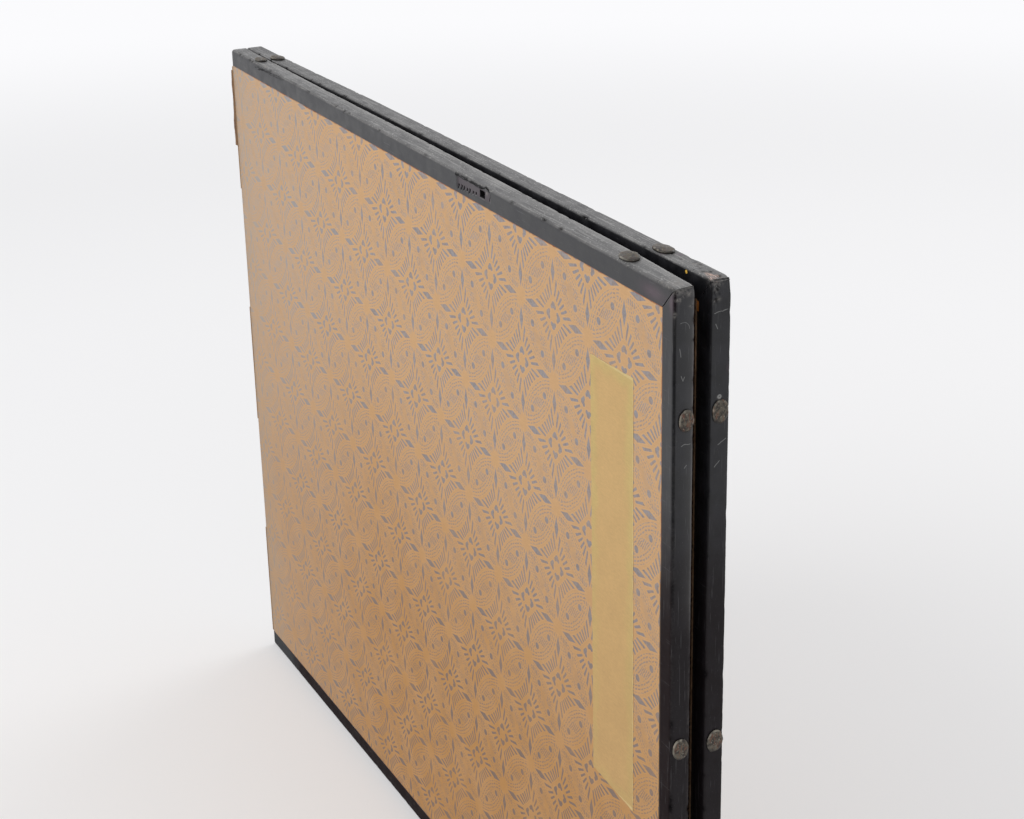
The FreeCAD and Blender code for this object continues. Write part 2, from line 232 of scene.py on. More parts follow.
def span(x, y):
    """The straight distance over two lengths at right angles."""
    return maths("SQRT", x * x + y * y)


def ramp(value, low, high, bottom=0.0, top=1.0):
    """A smooth rise from bottom to top as the value goes from low to high."""
    node = value.paint.nodes.new("ShaderNodeMapRange")
    node.interpolation_type = "SMOOTHSTEP"
    for socket, number in zip(node.inputs, (value, low, high, bottom, top)):
        value.paint.feed(socket, number)
    return Field(value.paint, node.outputs[0])


def inked(edge, softness=BLEED):
    """1 inside a shape and 0 outside, from the distance to its edge."""
    return ramp(edge, -softness, softness, 1.0, 0.0)


def stripes(value, pitch, width):
    """Distance to the nearest of evenly spaced lines of this width."""
    return abs(value % pitch - pitch / 2) - width / 2


def stroke(across, up, start, end, half_width):
    """Distance to the edge of a straight line between two points."""
    run, climb = end[0] - start[0], end[1] - start[1]
    off_across, off_up = across - start[0], up - start[1]
    share = (off_across * run + off_up * climb) / (run * run + climb * climb)
    share = least(most(share, 0.0), 1.0)
    return span(off_across - share * run, off_up - share * climb) - half_width


def mix(amount, first, second):
    """One colour turning into another as the amount goes from 0 to 1."""
    paint = amount.paint
    node = paint.nodes.new("ShaderNodeMix")
    node.data_type = "RGBA"
    for number, value in zip((0, 6, 7), (amount, first, second)):
        paint.feed(node.inputs[number], linear(value) if isinstance(value, tuple) else value)
    return Field(paint, node.outputs[2])


def shade(colour, amount):
    """A colour made lighter or darker by a varying amount, 1 for no change."""
    node = colour.paint.nodes.new("ShaderNodeVectorMath")
    node.operation = "SCALE"
    colour.paint.feed(node.inputs[0], colour)
    colour.paint.feed(node.inputs["Scale"], amount)
    return Field(colour.paint, node.outputs[0])


class Paint:
    """One material in the making: where a point of it lies, in millimetres, and its colour so far."""

    def __init__(self, name, roughness=0.6, specular=0.4, metallic=0.0):
        self.material = bpy.data.materials.new(name)
        self.material.use_nodes = True
        self.nodes = self.material.node_tree.nodes
        self.links = self.material.node_tree.links
        self.shader = self.nodes["Principled BSDF"]
        self.shader.inputs["Roughness"].default_value = roughness
        self.shader.inputs["Specular IOR Level"].default_value = specular
        self.shader.inputs["Metallic"].default_value = metallic
        self.relief = None
        self.colour = None
        source = Field(self, self.nodes.new("ShaderNodeTexCoord").outputs["Object"])
        place = self.vector("MULTIPLY", source, (1 / MM, 1 / MM, 1 / MM))
        split = self.nodes.new("ShaderNodeSeparateXYZ")
        self.feed(split.inputs[0], place)
        self.x, self.y, self.z = (Field(self, socket) for socket in split.outputs)
        self.x = self.x - HINGE_X
        self.far_leaf = maths("GREATER_THAN", self.y, 0.0)
        self.scatter = self.vector("ADD", place, self.far_leaf * OTHER_LEAF_SHIFT)

    def feed(self, socket, value):
        if isinstance(value, Field):
            self.links.new(value.socket, socket)
        else:
            socket.default_value = value

    def node(self, kind, operation, *values):
        node = self.nodes.new(kind)
        node.operation = operation
        for socket, value in zip(node.inputs, values):
            self.feed(socket, value)
        return Field(self, node.outputs[0])

    def vector(self, operation, *values):
        return self.node("ShaderNodeVectorMath", operation, *values)

    def noise(self, sizes, detail=2.0, seed=0.0):
        """Soft noise from about 0.2 to 0.8, with blobs of these sizes along x, y and z."""
        if not isinstance(sizes, tuple):
            sizes = (sizes, sizes, sizes)
        node = self.nodes.new("ShaderNodeTexNoise")
        scale = tuple(1 / one for one in sizes)
        offset = (seed * 7.3, seed * 3.1, seed * 5.7)
        self.feed(node.inputs["Vector"], self.vector("MULTIPLY_ADD", self.scatter, scale, offset))
        node.inputs["Scale"].default_value = 1.0
        node.inputs["Detail"].default_value = detail
        return Field(self, node.outputs["Fac"])

    def patches(self, sizes, low, high, bottom=0.0, top=1.0, detail=2.0, seed=0.0):
        """Patches of about these sizes: noise that rises from bottom to top between low and high."""
        return ramp(self.noise(sizes, detail, seed), low, high, bottom, top)

    def sway(self, sizes, reach, detail=2.0, seed=0.0):
        """Noise that wanders about nought, and keeps within half of its reach."""
        return (self.noise(sizes, detail, seed) - 0.5) * reach

    def cells(self, size):
        """Distance to the nearest of scattered points about size apart, as a share of it."""
        node = self.nodes.new("ShaderNodeTexVoronoi")
        self.feed(node.inputs["Vector"], self.scatter)
        node.inputs["Scale"].default_value = 1 / size
        return Field(self, node.outputs["Distance"])

    def mark(self, label):
        """A mark that the mesh itself carries."""
        node = self.nodes.new("ShaderNodeAttribute")
        node.attribute_name = label
        return Field(self, node.outputs["Fac"])

    def cover(self, amount, colour):
        """Lay a colour over the one so far."""
        self.colour = mix(amount, self.colour, colour)

    def raise_by(self, height, depth):
        """Relief: a height from 0 to 1 that stands for this many millimetres."""
        node = self.nodes.new("ShaderNodeBump")
        node.inputs["Distance"].default_value = depth * MM
        self.feed(node.inputs["Height"], height)
        if self.relief:
            self.feed(node.inputs["Normal"], self.relief)
        self.relief = Field(self, node.outputs[0])

    def finish(self, roughness=None, specular=None):
        sockets = (("Base Color", self.colour), ("Roughness", roughness),
                   ("Specular IOR Level", specular), ("Normal", self.relief))
        for label, value in sockets:
            if value is not None:
                self.feed(self.shader.inputs[label], value)
        return self.material


# The printed pattern: sunbursts at the even crossings of a lattice, with leaf shapes between them.
HALF_ACROSS = 55.05
HALF_UP = 52.7
SUNBURST_X = 729.2
SUNBURST_Z = 625.0
DRAWN_OUT_SHARE = 0.0000154
SLACK_SHARE = 0.000026
SLACK_FOOT = 120.0
SLACK_HEAD = 620.0
DIAGONAL = 76.15
ARC_RADIUS = 57.3
ARC_CENTRE = 42.8
FAN_INSET = 2.6
RAY_SECTOR = math.radians(12.0)
FAN_START = math.radians(8.5)
RAYS_TO_A_FAN = 6
RAY_SPREAD_SHARE = 0.026
RAY_HALF_WIDTH = 0.5
RAYS_BEGIN = 18.1
RAYS_STOP = 1.2
ARC_ACROSS = 57.9
ARC_UP = 55.9
PETAL_ROUNDS = ((8.6, 0.0, 2.7), (7.0, 2.4, 1.9))
FLAT_TIP_OUT = 35.9
FLAT_TIP_REACH = 11.8
TALL_TIP_OUT = 35.0
TALL_TIP_REACH = 10.4
TIP_HALF_WIDTH = 3.3
TIP_SLOPE = 2.8
ROUNDEL_X = 10.6
ROUNDEL_Z = 8.75
ROUNDEL_RADIUS = 3.0
RING_PITCH = 2.95
RING_WIDTH = 1.15
RINGS_REACH = 10.2
BEAD_RING_X = 9.0
BEAD_RING_Z = -0.6
BEAD_RING_RADIUS = 2.9
BEAD_RADIUS = 0.85
BEAD_TURN = math.radians(51.4)
COMB_PITCH = 2.4
COMB_WIDTH = 1.2
COMB_HALF_HEIGHT = 4.4
COMB_HALF_LENGTH = 17.0
FINE_REACH = 43.0
FINE_INSET = 1.3


def diamond(along, reach, aside):
    """About the distance to a long diamond's edge."""
    return (abs(along) / reach + aside / TIP_HALF_WIDTH - 1.0) * TIP_SLOPE


def sunburst(s, t):
    """Four petals, a fan of rays in each quarter, and four long diamonds."""
    across = abs(s + t) * HALF_ACROSS
    up = abs(s - t) * HALF_UP
    wide = most(across, up)
    thin = least(across, up)
    petals = least(*[span(wide - out, thin - aside) - radius for out, aside, radius in PETAL_ROUNDS])
    fan = maths("ARCTAN2", up + FAN_INSET, across + FAN_INSET) - FAN_START
    reach = span(up + FAN_INSET, across + FAN_INSET)
    off_ray = abs(fan % RAY_SECTOR - RAY_SECTOR / 2) * reach
    off_fan = (abs(fan - RAY_SECTOR * RAYS_TO_A_FAN / 2) - RAY_SECTOR * RAYS_TO_A_FAN / 2) * reach
    beyond_arc = span(across - ARC_ACROSS, up - ARC_UP) - ARC_RADIUS
    rays = most(
        off_ray - reach * RAY_SPREAD_SHARE - RAY_HALF_WIDTH,
        off_fan,
        RAYS_BEGIN - (across + up),
        RAYS_STOP - beyond_arc,
    )
    flat_tip = diamond(across - FLAT_TIP_OUT, FLAT_TIP_REACH, up)
    tall_tip = diamond(up - TALL_TIP_OUT, TALL_TIP_REACH, across)
    return least(petals, rays, flat_tip, tall_tip)


def leaf_shapes(paint, s, t):
    """What fills the leaf shapes between four crossings: roundels, fine dashes and a tint."""
    s_near, t_near = s % 1.0 - 0.5, t % 1.0 - 0.5
    s_far, t_far = (s + 0.5) % 1.0 - 0.5, (t + 0.5) % 1.0 - 0.5
    depth_1 = ARC_RADIUS - span(t_far * DIAGONAL, abs(s_near) * DIAGONAL + ARC_CENTRE)
    depth_2 = ARC_RADIUS - span(s_far * DIAGONAL, abs(t_near) * DIAGONAL + ARC_CENTRE)
    dotted = maths("GREATER_THAN", depth_1, depth_2)
    depth = most(depth_1, depth_2)
    s_in = s_far + (s_near - s_far) * dotted
    t_in = t_near + (t_far - t_near) * dotted
    x = (s_in + t_in) * HALF_ACROSS * (1.0 - dotted * 2.0)
    z = (s_in - t_in) * HALF_UP
    half = maths("SIGN", x + z)
    x = x * half
    z = z * half
    tint = ramp(depth, 3.0, 9.0) * paint.patches(9.0, 0.36, 0.62, detail=3, seed=23)
    tint = tint * (dotted * 0.1 + 0.12)
    from_roundel = span(x - ROUNDEL_X + dotted * 2.4, z - ROUNDEL_Z - dotted * 1.35)
    x = x + paint.sway(4.5, 3.0, seed=24)
    z = z + paint.sway(4.5, 3.0, seed=25)
    rings = most(
        stripes(depth + paint.sway(5.0, 3.0, seed=20), RING_PITCH, RING_WIDTH),
        stripes(x + z + depth, 6.6 - dotted * 2.8, 4.7 - dotted * 2.5),
        depth - RINGS_REACH,
    )
    bead_x, bead_z = x - BEAD_RING_X, z - BEAD_RING_Z
    beads = most(
        abs(span(bead_x, bead_z) - BEAD_RING_RADIUS) - BEAD_RADIUS,
        stripes(maths("ARCTAN2", bead_z, bead_x), BEAD_TURN, 0.45) * BEAD_RING_RADIUS,
    )
    strokes = most(stripes(x - z * 0.5, 2.6, 1.3), abs(z - x * 0.2 - 15.4) - 1.5, 11.0 - x)
    comb = most(
        stripes(x - z * (x * 0.018 + 0.6), COMB_PITCH, COMB_WIDTH),
        abs(z - x * x * 0.008) - COMB_HALF_HEIGHT,
        abs(x) - COMB_HALF_LENGTH,
    )
    fine = least(
        rings,
        most(comb, dotted * 9.0 - 1.0, 9.6 - depth),
        most(least(beads, strokes), 8.0 - dotted * 9.0),
    )
    fine = most(fine, ROUNDEL_RADIUS + FINE_INSET - from_roundel, x + z - FINE_REACH, FINE_INSET - depth)
    return from_roundel - ROUNDEL_RADIUS, fine, tint


def block_print(paint):
    """How much ink lies at a point, and how close bare paper lies to ink, both from 0 to 1."""
    off_burst = paint.x - SUNBURST_X
    drawn_out = off_burst * off_burst * DRAWN_OUT_SHARE
    slack = (paint.z - SLACK_FOOT) * (SLACK_HEAD - paint.z) * SLACK_SHARE
    drawn_out = drawn_out + ramp(paint.x, 850.0, 854.0) * ramp(paint.z, 560.0, 330.0) * 3.4
    x = paint.x - drawn_out + paint.sway(80.0, 1.6) + paint.sway(2.6, 0.7, seed=1)
    z = paint.z + slack + paint.sway(80.0, 1.6, seed=2) + paint.sway(2.6, 0.7, seed=3)
    column = (x - SUNBURST_X) / HALF_ACROSS
    row = (z - SUNBURST_Z) / HALF_UP
    s = (column + row) * 0.5
    t = (column - row) * 0.5
    s_near = (s + 0.5) % 1.0 - 0.5
    t_near = (t + 0.5) % 1.0 - 0.5
    roundels, fine, tint = leaf_shapes(paint, s, t)
    bold = least(sunburst(s_near, t_near), roundels)
    ink = most(inked(bold), inked(fine, 0.36) * 0.82, tint)
    beside = ramp(least(bold, fine + 0.2), 1.3, 0.3)
    worn = paint.patches(1.3, 0.28, 0.5, 0.72, 1.0, seed=4)
    patchy = paint.patches(55.0, 0.3, 0.6, 0.8, 1.0, detail=3, seed=5)
    patchy = patchy * ramp(paint.x, 0.0, 200.0, 0.82, 1.0)
    return ink * worn * patchy, beside * patchy


def fibres(paint, seed=0.0):
    """Long paper fibres, lying mostly across."""
    return paint.noise((7.0, 7.0, 0.9), detail=3, seed=seed)


def aged_edges(paint):
    """Brown at the frame, a dark seam beside the stile, greyed and washed out at the hinge, and specks."""
    side_edge = PANEL_WIDTH - paint.x
    top_edge = LEAF_HEIGHT - RAIL_HEIGHT - paint.z
    edge = least(side_edge, top_edge, paint.z - RAIL_HEIGHT) + paint.sway(4.0, 1.6, seed=10)
    dyed = ramp(edge, 0.9, 0.2) * paint.patches(24.0, 0.3, 0.6, 0.25, 0.9, detail=4, seed=13)
    paint.cover(dyed, (146, 78, 38))
    seam = ramp(side_edge + paint.sway(5.0, 0.8, seed=14), 1.5, 1.0)
    paint.cover(seam * ramp(paint.z, 510.0, 450.0) * 0.9, (28, 21, 17))
    hinge = ramp(paint.x + paint.sway(9.0, 14.0, seed=11), 9.0, 0.0)
    paint.cover(hinge * 0.6, (158, 132, 108))
    washed = ramp(paint.x + paint.sway((14.0, 14.0, 60.0), 60.0, seed=15), 75.0, 5.0)
    washed = washed * paint.patches((3.0, 3.0, 60.0), 0.35, 0.6, 0.35, 1.0, detail=3, seed=16)
    paint.cover(washed * 0.36, (164, 150, 134))
    specks = paint.patches(2.4, 0.74, 0.8, seed=12)
    paint.cover(specks * 0.5, (120, 84, 56))


def back_paper():
    """Printed back paper: tan ground, mauve-grey ink with a slight gloss, browned edges."""
    paint = Paint("printed_paper", specular=0.35)
    ink, beside = block_print(paint)
    # Painted warm bounce light: the ground and the ink turn browner and darker towards the bottom.
    low = ramp(paint.z + paint.sway(180.0, 120.0, seed=6), 560.0, 160.0)
    # Painted sheen: towards the hinge the ground and the ink are greyed, less so near the bottom.
    far = ramp(paint.x, 420.0, 0.0)
    ground = mix(low, (201, 160, 115), (182, 134, 77))
    greyed = far * (1.0 - low * 0.4)
    ground = mix(greyed * 0.65, ground, (184, 157, 132))
    ground = mix(paint.patches(34.0, 0.35, 0.7, detail=4, seed=7) * 0.35, ground, (196, 155, 112))
    tone = (fibres(paint, 8) - 0.5) * 0.16 + paint.sway(1.2, 0.14, seed=9) + 1.0
    # Painted highlight: the ground is lightened just beside the ink, along the print's embossed edges.
    ground = shade(ground, tone + beside * 0.07)
    # Painted warm bounce light on the ink, browner and darker towards the bottom.
    print_colour = mix(low, (140, 138, 142), (114, 93, 81))
    print_colour = mix(paint.patches(3.0, 0.4, 0.65, seed=19) * 0.5, print_colour, (122, 104, 96))
    # Painted sheen on the ink, greyer towards the hinge.
    print_colour = mix(greyed * 0.7, print_colour, (155, 153, 151))
    print_colour = shade(print_colour, tone)
    paint.colour = mix(ink, ground, print_colour)
    aged_edges(paint)
    paint.raise_by(fibres(paint, 8), 0.05)
    paint.raise_by(ink, 0.03)
    return paint.finish(0.72 - ink * 0.24)


# The slip on the left leaf's back: its outline, and the corners from which its colour is worked out.
SLIP_X = 788.5
SLIP_WIDTH = 64.0
SLIP_HEAD = 613.8
SLIP_FOOT = 257.0
SLIP_LENGTH = 355.0
SLIP_HEAD_SLOPE = 2.0
SLIP_FOOT_SLOPE = 5.5
SLIP_FACE = ((788.0, 259.0), (852.5, 614.0))


def slip_paper():
    """The blank slip: olive towards its edges and browner in the middle."""
    paint = Paint("slip_paper", roughness=0.7, specular=0.3)
    (low_x, low_z), (high_x, high_z) = SLIP_FACE
    inward = least(paint.x - low_x, high_x - paint.x, high_z - paint.z, paint.z - low_z)
    middle = ramp(inward + paint.sway(16.0, 18.0, seed=1), 2.0, 14.0)
    low = ramp(paint.z, 560.0, 300.0)
    paint.colour = mix(middle, (198, 172, 112), (201, 166, 112))
    # Painted warm bounce light: the slip turns browner towards the bottom, as the back paper does.
    paint.cover(low * 0.5, (188, 150, 98))
    tone = (fibres(paint, 2) - 0.5) * 0.26 + paint.sway(22.0, 0.16, detail=4, seed=3) + 1.0
    tone = tone + paint.sway(1.8, 0.16, detail=3, seed=5)
    paint.colour = shade(paint.colour, tone)
    rim = ramp(inward + paint.sway(2.0, 1.2, seed=4), 1.1, 0.2)
    paint.cover(rim * 0.45, (222, 202, 150))
    paint.raise_by(fibres(paint, 2), 0.08)
    return paint.finish()


def plain_paper(name, light, dark, fleck):
    """Handmade paper with fibres, soft stains and a few flecks of bark."""
    paint = Paint(name, roughness=0.78, specular=0.3)
    paint.colour = mix(paint.patches(26.0, 0.35, 0.7, detail=4), light, dark)
    paint.colour = shade(paint.colour, (fibres(paint, 1) - 0.5) * 0.3 + 1.0)
    flecks = paint.patches((3.4, 3.4, 1.1), 0.72, 0.78, seed=2)
    paint.cover(flecks * 0.7, fleck)
    paint.raise_by(fibres(paint, 1), 0.08)
    return paint.finish()


def torn_paper():
    """Hinge paper browned by handling, darkest beside the leaf."""
    paint = Paint("torn_paper", roughness=0.8, specular=0.25)
    paint.colour = mix(paint.patches(7.0, 0.35, 0.65, detail=4), (136, 106, 80), (104, 76, 56))
    paint.cover(paint.mark("wear"), (78, 56, 42))
    paint.colour = shade(paint.colour, (fibres(paint, 1) - 0.5) * 0.4 + 1.0)
    paint.raise_by(fibres(paint, 1), 0.1)
    return paint.finish()


# Scratches on the outer side of each leaf's stile, each from one point to another: depth from the back
# and height.
SIDE_DEPTH = 22.5
SIDE_X = 908.2
SCRATCH_HALF_WIDTH = 0.2
ARC_AT = (7.0, 668.3)
SCRATCHED_ARC_RADIUS = 5.2
RING_AT = (8.0, 614.0)
SCRATCHED_RING_RADIUS = 1.1
LEFT_STROKES = (
    ((6.0, 634.5), (7.4, 631.0)),
    ((7.4, 631.0), (8.6, 634.0)),
    ((6.7, 582.6), (9.6, 583.8)),
    ((9.6, 583.8), (13.8, 583.0)),
    ((9.2, 565.8), (10.9, 567.6)),
    ((4.6, 655.0), (5.6, 649.0)),
)
RIGHT_STROKES = (
    ((13.0, 675.8), (2.4, 677.2)),
    ((11.6, 694.6), (9.6, 692.8)),
    ((12.0, 668.0), (10.4, 664.0)),
    ((8.6, 578.0), (2.2, 581.4)),
    ((11.3, 561.4), (7.2, 565.6)),
)


def side_scratches(paint):
    """1 on the few long scratches that the outer sides carry."""
    across = SIDE_DEPTH - abs(paint.y)
    up = paint.z + paint.sway(3.0, 1.6, seed=21)
    left = least(*[stroke(across, up, *ends, SCRATCH_HALF_WIDTH) for ends in LEFT_STROKES])
    bent = abs(span(across - ARC_AT[0], up - ARC_AT[1]) - SCRATCHED_ARC_RADIUS) - 0.1
    arc = most(bent, 668.0 - up, 5.0 - across)
    left = most(least(left, arc), paint.y)
    right = least(*[stroke(across, up, *ends, SCRATCH_HALF_WIDTH) for ends in RIGHT_STROKES])
    ring = abs(span(across - RING_AT[0], paint.z - RING_AT[1]) - SCRATCHED_RING_RADIUS) - 0.6
    right = most(least(right, ring), paint.y * -1.0)
    return inked(most(least(left, right), SIDE_X - paint.x), 0.3)


# What shows in the recess of the near top rail: places along it and heights.
SLITS = (
    (562.7, 686.5, 1.9), (568.3, 686.8, 2.0), (572.8, 687.1, 1.7), (578.8, 687.2, 1.2),
    (583.5, 687.3, 1.8), (590.0, 687.6, 1.1), (595.3, 688.0, 1.1),
)
HOOK = ((604.5, 694.3), (613.9, 697.2), (619.6, 696.5), (622.0, 694.6), (621.8, 691.4), (620.2, 688.0))
HOLE_FROM, HOLE_TO = (602.6, 687.2), (611.7, 693.4)
GLINT = (876.8, 697.0)
CRACK = ((74.0, 692.8), (103.0, 694.5), (155.0, 695.6))


def recess_lines(paint):
    """1 on the slits and the square hole, painted dark as the shade inside them, and on the dark hook."""
    x, z = paint.x, paint.z
    slits = [most(abs(x - along) - 0.75, abs(z - height) - reach) for along, height, reach in SLITS]
    hole = most(HOLE_FROM[0] - x, x - HOLE_TO[0], HOLE_FROM[1] - z, z - HOLE_TO[1])
    hook = [stroke(x, z, start, end, 0.55) for start, end in zip(HOOK, HOOK[1:])]
    return inked(most(least(hole, *slits, *hook), paint.y), 0.35)


def recess_rim_shade(paint):
    """Painted shade, rough and broken, along the recess's upper rim under its overhang."""
    band = most(abs(paint.x - 583.0) - 26.0, abs(paint.z - 695.4) - 1.5, paint.y)
    return inked(band, 0.8) * paint.patches((5.0, 5.0, 1.0), 0.36, 0.5, detail=3, seed=15)


def hinge_end_crack(paint):
    """A long broken crack along the back of the near top rail, close to the hinge."""
    spread = paint.z + paint.sway(6.0, 2.4, seed=17)
    parts = [stroke(paint.x, spread, start, end, 1.2) for start, end in zip(CRACK, CRACK[1:])]
    broken = paint.patches((8.0, 8.0, 1.0), 0.42, 0.56, detail=3, seed=18)
    return inked(most(least(*parts), paint.y), 0.5) * broken


def dust_and_sheen_on_top(paint, upward):
    """Dust, grains and streaks on what looks up, with painted sheen in the pale cover, which grows towards
    the outer end and is weaker on the far leaf. Gives how thick the dust and sheen lie.
    """
    # Painted sheen on top of real dust: the pale cover on what looks up grows towards the outer end and is
    # weaker on the far leaf.
    sheen_and_dust_share = ramp(paint.x, 0.0, LEAF_WIDTH, 0.62, 0.92) * (1.0 - paint.far_leaf * 0.22)
    dust_and_sheen = upward * paint.patches((30.0, 6.0, 6.0), 0.25, 0.7, 0.4, 0.95, detail=4, seed=2) * sheen_and_dust_share
    paint.cover(dust_and_sheen, (116, 115, 114))
    grains = upward * paint.patches((2.2, 1.1, 1.1), 0.6, 0.7, detail=1, seed=7)
    paint.cover(grains * 0.5, (178, 176, 172))
    streaks = upward * paint.patches((45.0, 1.3, 1.3), 0.54, 0.64, seed=19)
    paint.cover(streaks * 0.35, (168, 166, 163))
    dark_streaks = upward * paint.patches((30.0, 1.3, 1.3), 0.56, 0.66, seed=20)
    paint.cover(dark_streaks * 0.4, (70, 69, 70))
    return dust_and_sheen


def fine_scratches(paint):
    """Fine scratches along the members and up the stiles, and the long ones on the outer sides."""
    scratch = paint.patches((26.0, 0.8, 0.8), 0.69, 0.74, seed=4)
    upright = paint.patches((0.8, 0.8, 26.0), 0.66, 0.72, seed=5) * ramp(paint.x, 890.0, 894.0)
    scratch = most(scratch, upright)
    paint.cover(scratch * 0.3, (112, 112, 114))
    paint.cover(side_scratches(paint) * 0.6, (162, 162, 160))


def bared_wood(paint, wood):
    """Pale grain where the lacquer is gone."""
    grain = paint.patches((6.0, 0.8, 0.8), 0.49, 0.57, seed=9)
    paint.cover(wood * 0.8, (44, 34, 32))
    paint.cover(least(wood * grain * 1.4, 1.0), (222, 188, 172))


def black_lacquer():
    """Worn black lacquer: dusty where it looks up, with painted sheen there, greyed where it is rubbed,
    dull and browner low down.
    """
    paint = Paint("black_lacquer")
    wear, rub, chip, wood, back, turn, face, ridge = (paint.mark(label) for label in BAR_MARKS)
    normal = paint.nodes.new("ShaderNodeNewGeometry").outputs["Normal"]
    split = paint.nodes.new("ShaderNodeSeparateXYZ")
    paint.links.new(normal, split.inputs[0])
    upward = ramp(Field(paint, split.outputs[2]), 0.2, 0.95)
    low = ramp(paint.z + paint.sway(20.0, 30.0, seed=16), 578.0, 425.0)
    # Painted shade on the stile's rounded arris, weaker low down; the same mark makes that arris duller.
    turned = turn * ramp(paint.x, PANEL_WIDTH, LEAF_WIDTH - 4.0) * (1.0 - low * 0.85)
    cloud = paint.noise(14.0, detail=4, seed=1)
    paint.colour = mix(ramp(cloud, 0.35, 0.68), (24, 24, 27), (37, 37, 41))
    paint.cover(low * (back * 0.35 + 0.6), (31, 23, 24))
    paint.cover(low * ramp(paint.x, 95.0, 45.0) * 0.9, (64, 66, 68))
    # Painted shade: darker on the stile's rounded arris and, more lightly, on what faces into the gap
    # between the leaves.
    paint.cover(most(turned * 0.8, face * 0.3), (14, 14, 16))
    dust_and_sheen = dust_and_sheen_on_top(paint, upward)
    # Painted highlight along the arris beside the face.
    paint.cover(ridge, (186, 184, 181))
    paint.cover(least(rub, 1.0) * 0.7, (82, 64, 74))
    bare = wear * paint.patches(2.2, 0.32, 0.6, detail=3, seed=3)
    paint.cover(bare, (130, 126, 122))
    fine_scratches(paint)
    # Dark chips, the crack and the hook, with painted shade in the slits and the square hole and along the
    # recess's upper rim.
    chipped = most(
        chip * paint.patches(1.8, 0.3, 0.5, detail=3, seed=8),
        recess_lines(paint),
        # Painted shade along the recess's upper rim.
        recess_rim_shade(paint) * 0.85,
        hinge_end_crack(paint) * 0.8,
    )
    paint.cover(chipped, (13, 12, 13))
    bared_wood(paint, wood)
    glint = inked(span(paint.x - GLINT[0], paint.z - GLINT[1]) - 1.3) * paint.far_leaf
    paint.cover(glint, (244, 196, 84))
    paint.raise_by(paint.noise((9.0, 3.0, 5.0), detail=4, seed=6), 0.12)
    paint.raise_by(bare, 0.06)
    roughness = ramp(cloud, 0.3, 0.7, 0.34, 0.48) + bare * 0.25 + dust_and_sheen * 0.1 + chipped * 0.3
    roughness = roughness + low * back * 0.25 + turned * 0.15
    gloss = (0.44 - low * (back * 0.09 + 0.3)) * (1.0 - turned * 0.75) * (1.0 - chipped * 0.8)
    gloss = gloss * (1.0 - face * 0.5) * (1.0 - paint.far_leaf * 0.12)
    return paint.finish(roughness, gloss)


def stud_metal():
    """Old mottled patina on beaten studs, brighter at the rim with a painted highlight and glints, black
    where they meet the lacquer, and painted shade on the rim's dark side.
    """
    paint = Paint("stud_metal", specular=0.5, metallic=0.3)
    spots = paint.patches(3.4, 0.38, 0.62, detail=4)
    paint.colour = mix(spots, (50, 44, 38), (98, 91, 79))
    rust = paint.patches((1.8, 1.8, 6.0), 0.52, 0.62, detail=3, seed=1)
    on_top = ramp(paint.z, 650.0, 690.0)
    paint.cover(rust * (0.6 - on_top * 0.35), (112, 72, 52))
    # Painted shade: the studs on top of the rails are darkened against the light from above.
    paint.colour = shade(paint.colour, 1.0 - on_top * 0.22)
    pits = paint.patches(1.5, 0.58, 0.7, seed=2)
    paint.cover(pits, (32, 26, 24))
    glints = paint.patches(1.2, 0.66, 0.74, detail=1, seed=3)
    # Painted highlight: the rim's wear mark and the glints are lighter.
    paint.cover(most(paint.mark("wear"), glints) * 0.7, (172, 166, 152))
    # Black where the studs meet the lacquer, and painted shade on the rim's dark side.
    paint.cover(paint.mark("rub"), (16, 14, 13))
    paint.raise_by(paint.cells(2.6), 0.22)
    return paint.finish(ramp(spots, 0.0, 1.0, 0.4, 0.58))


def nail_iron():
    """Dark iron with rust spots."""
    paint = Paint("nail_iron", specular=0.5, metallic=0.6)
    rust = paint.patches(2.0, 0.45, 0.62, detail=4)
    paint.raise_by(paint.noise(0.8, detail=3, seed=1), 0.1)
    paint.colour = mix(rust, (58, 54, 52), (108, 66, 42))
    return paint.finish(ramp(rust, 0.0, 1.0, 0.5, 0.8))


def core_wood():
    """Planed pale softwood with long grain."""
    paint = Paint("core_wood", roughness=0.65, specular=0.3)
    grain = paint.noise((160.0, 3.0, 3.0), detail=3) * 9.0 + paint.noise((3.0, 3.0, 160.0), detail=3) * 9.0
    lines = ramp(abs(grain % 1.0 - 0.5), 0.12, 0.45)
    paint.raise_by(lines, 0.05)
    paint.colour = mix(lines, (178, 138, 94), (208, 174, 130))
    return paint.finish()


GOLD_SQUARE = 109.0
GOLD_SHIFT_X, GOLD_SHIFT_Z = 20.0, 41.0


def gold_leaf():
    """Squares of gold leaf, each a little different, doubled where they lap, rubbed in places."""
    paint = Paint("gold_leaf", specular=0.5, metallic=0.85)
    x = paint.x + paint.sway(60.0, 4.0, seed=1) + GOLD_SHIFT_X
    z = paint.z + paint.sway(60.0, 4.0, seed=2) + GOLD_SHIFT_Z
    seam = least(*[abs(along % GOLD_SQUARE - GOLD_SQUARE / 2) for along in (x, z)])
    lap = ramp(seam + paint.sway(3.0, 2.0, seed=3), 2.4, 1.8)
    column, row = (maths("FLOOR", along / GOLD_SQUARE + 0.5) for along in (x, z))
    column = column + paint.far_leaf * 31.0
    square = maths("FRACT", maths("SINE", column * 12.9 + row * 78.2) * 437.5)
    paint.colour = mix(square * 0.6, (222, 176, 96), (206, 156, 78))
    paint.cover(lap * 0.7, (232, 190, 112))
    cracks = paint.patches((2.0, 2.0, 9.0), 0.63, 0.7, detail=5, seed=4)
    paint.cover(cracks * 0.7, (128, 84, 48))
    stains = paint.patches(110.0, 0.5, 0.8, detail=4, seed=5)
    paint.cover(stains * 0.4, (158, 112, 58))
    paint.raise_by(paint.noise(5.0, detail=4, seed=6), 0.12)
    paint.raise_by(lap, 0.02)
    return paint.finish(cracks * 0.3 + 0.4)


BROCADE_PITCH = 26.0
HEM_X = 890.0
HEM_HALF_WIDTH = 1.0
TOP_PATCH_Z = 676.5
TOP_PATCH_HALF_HEIGHT = 3.6


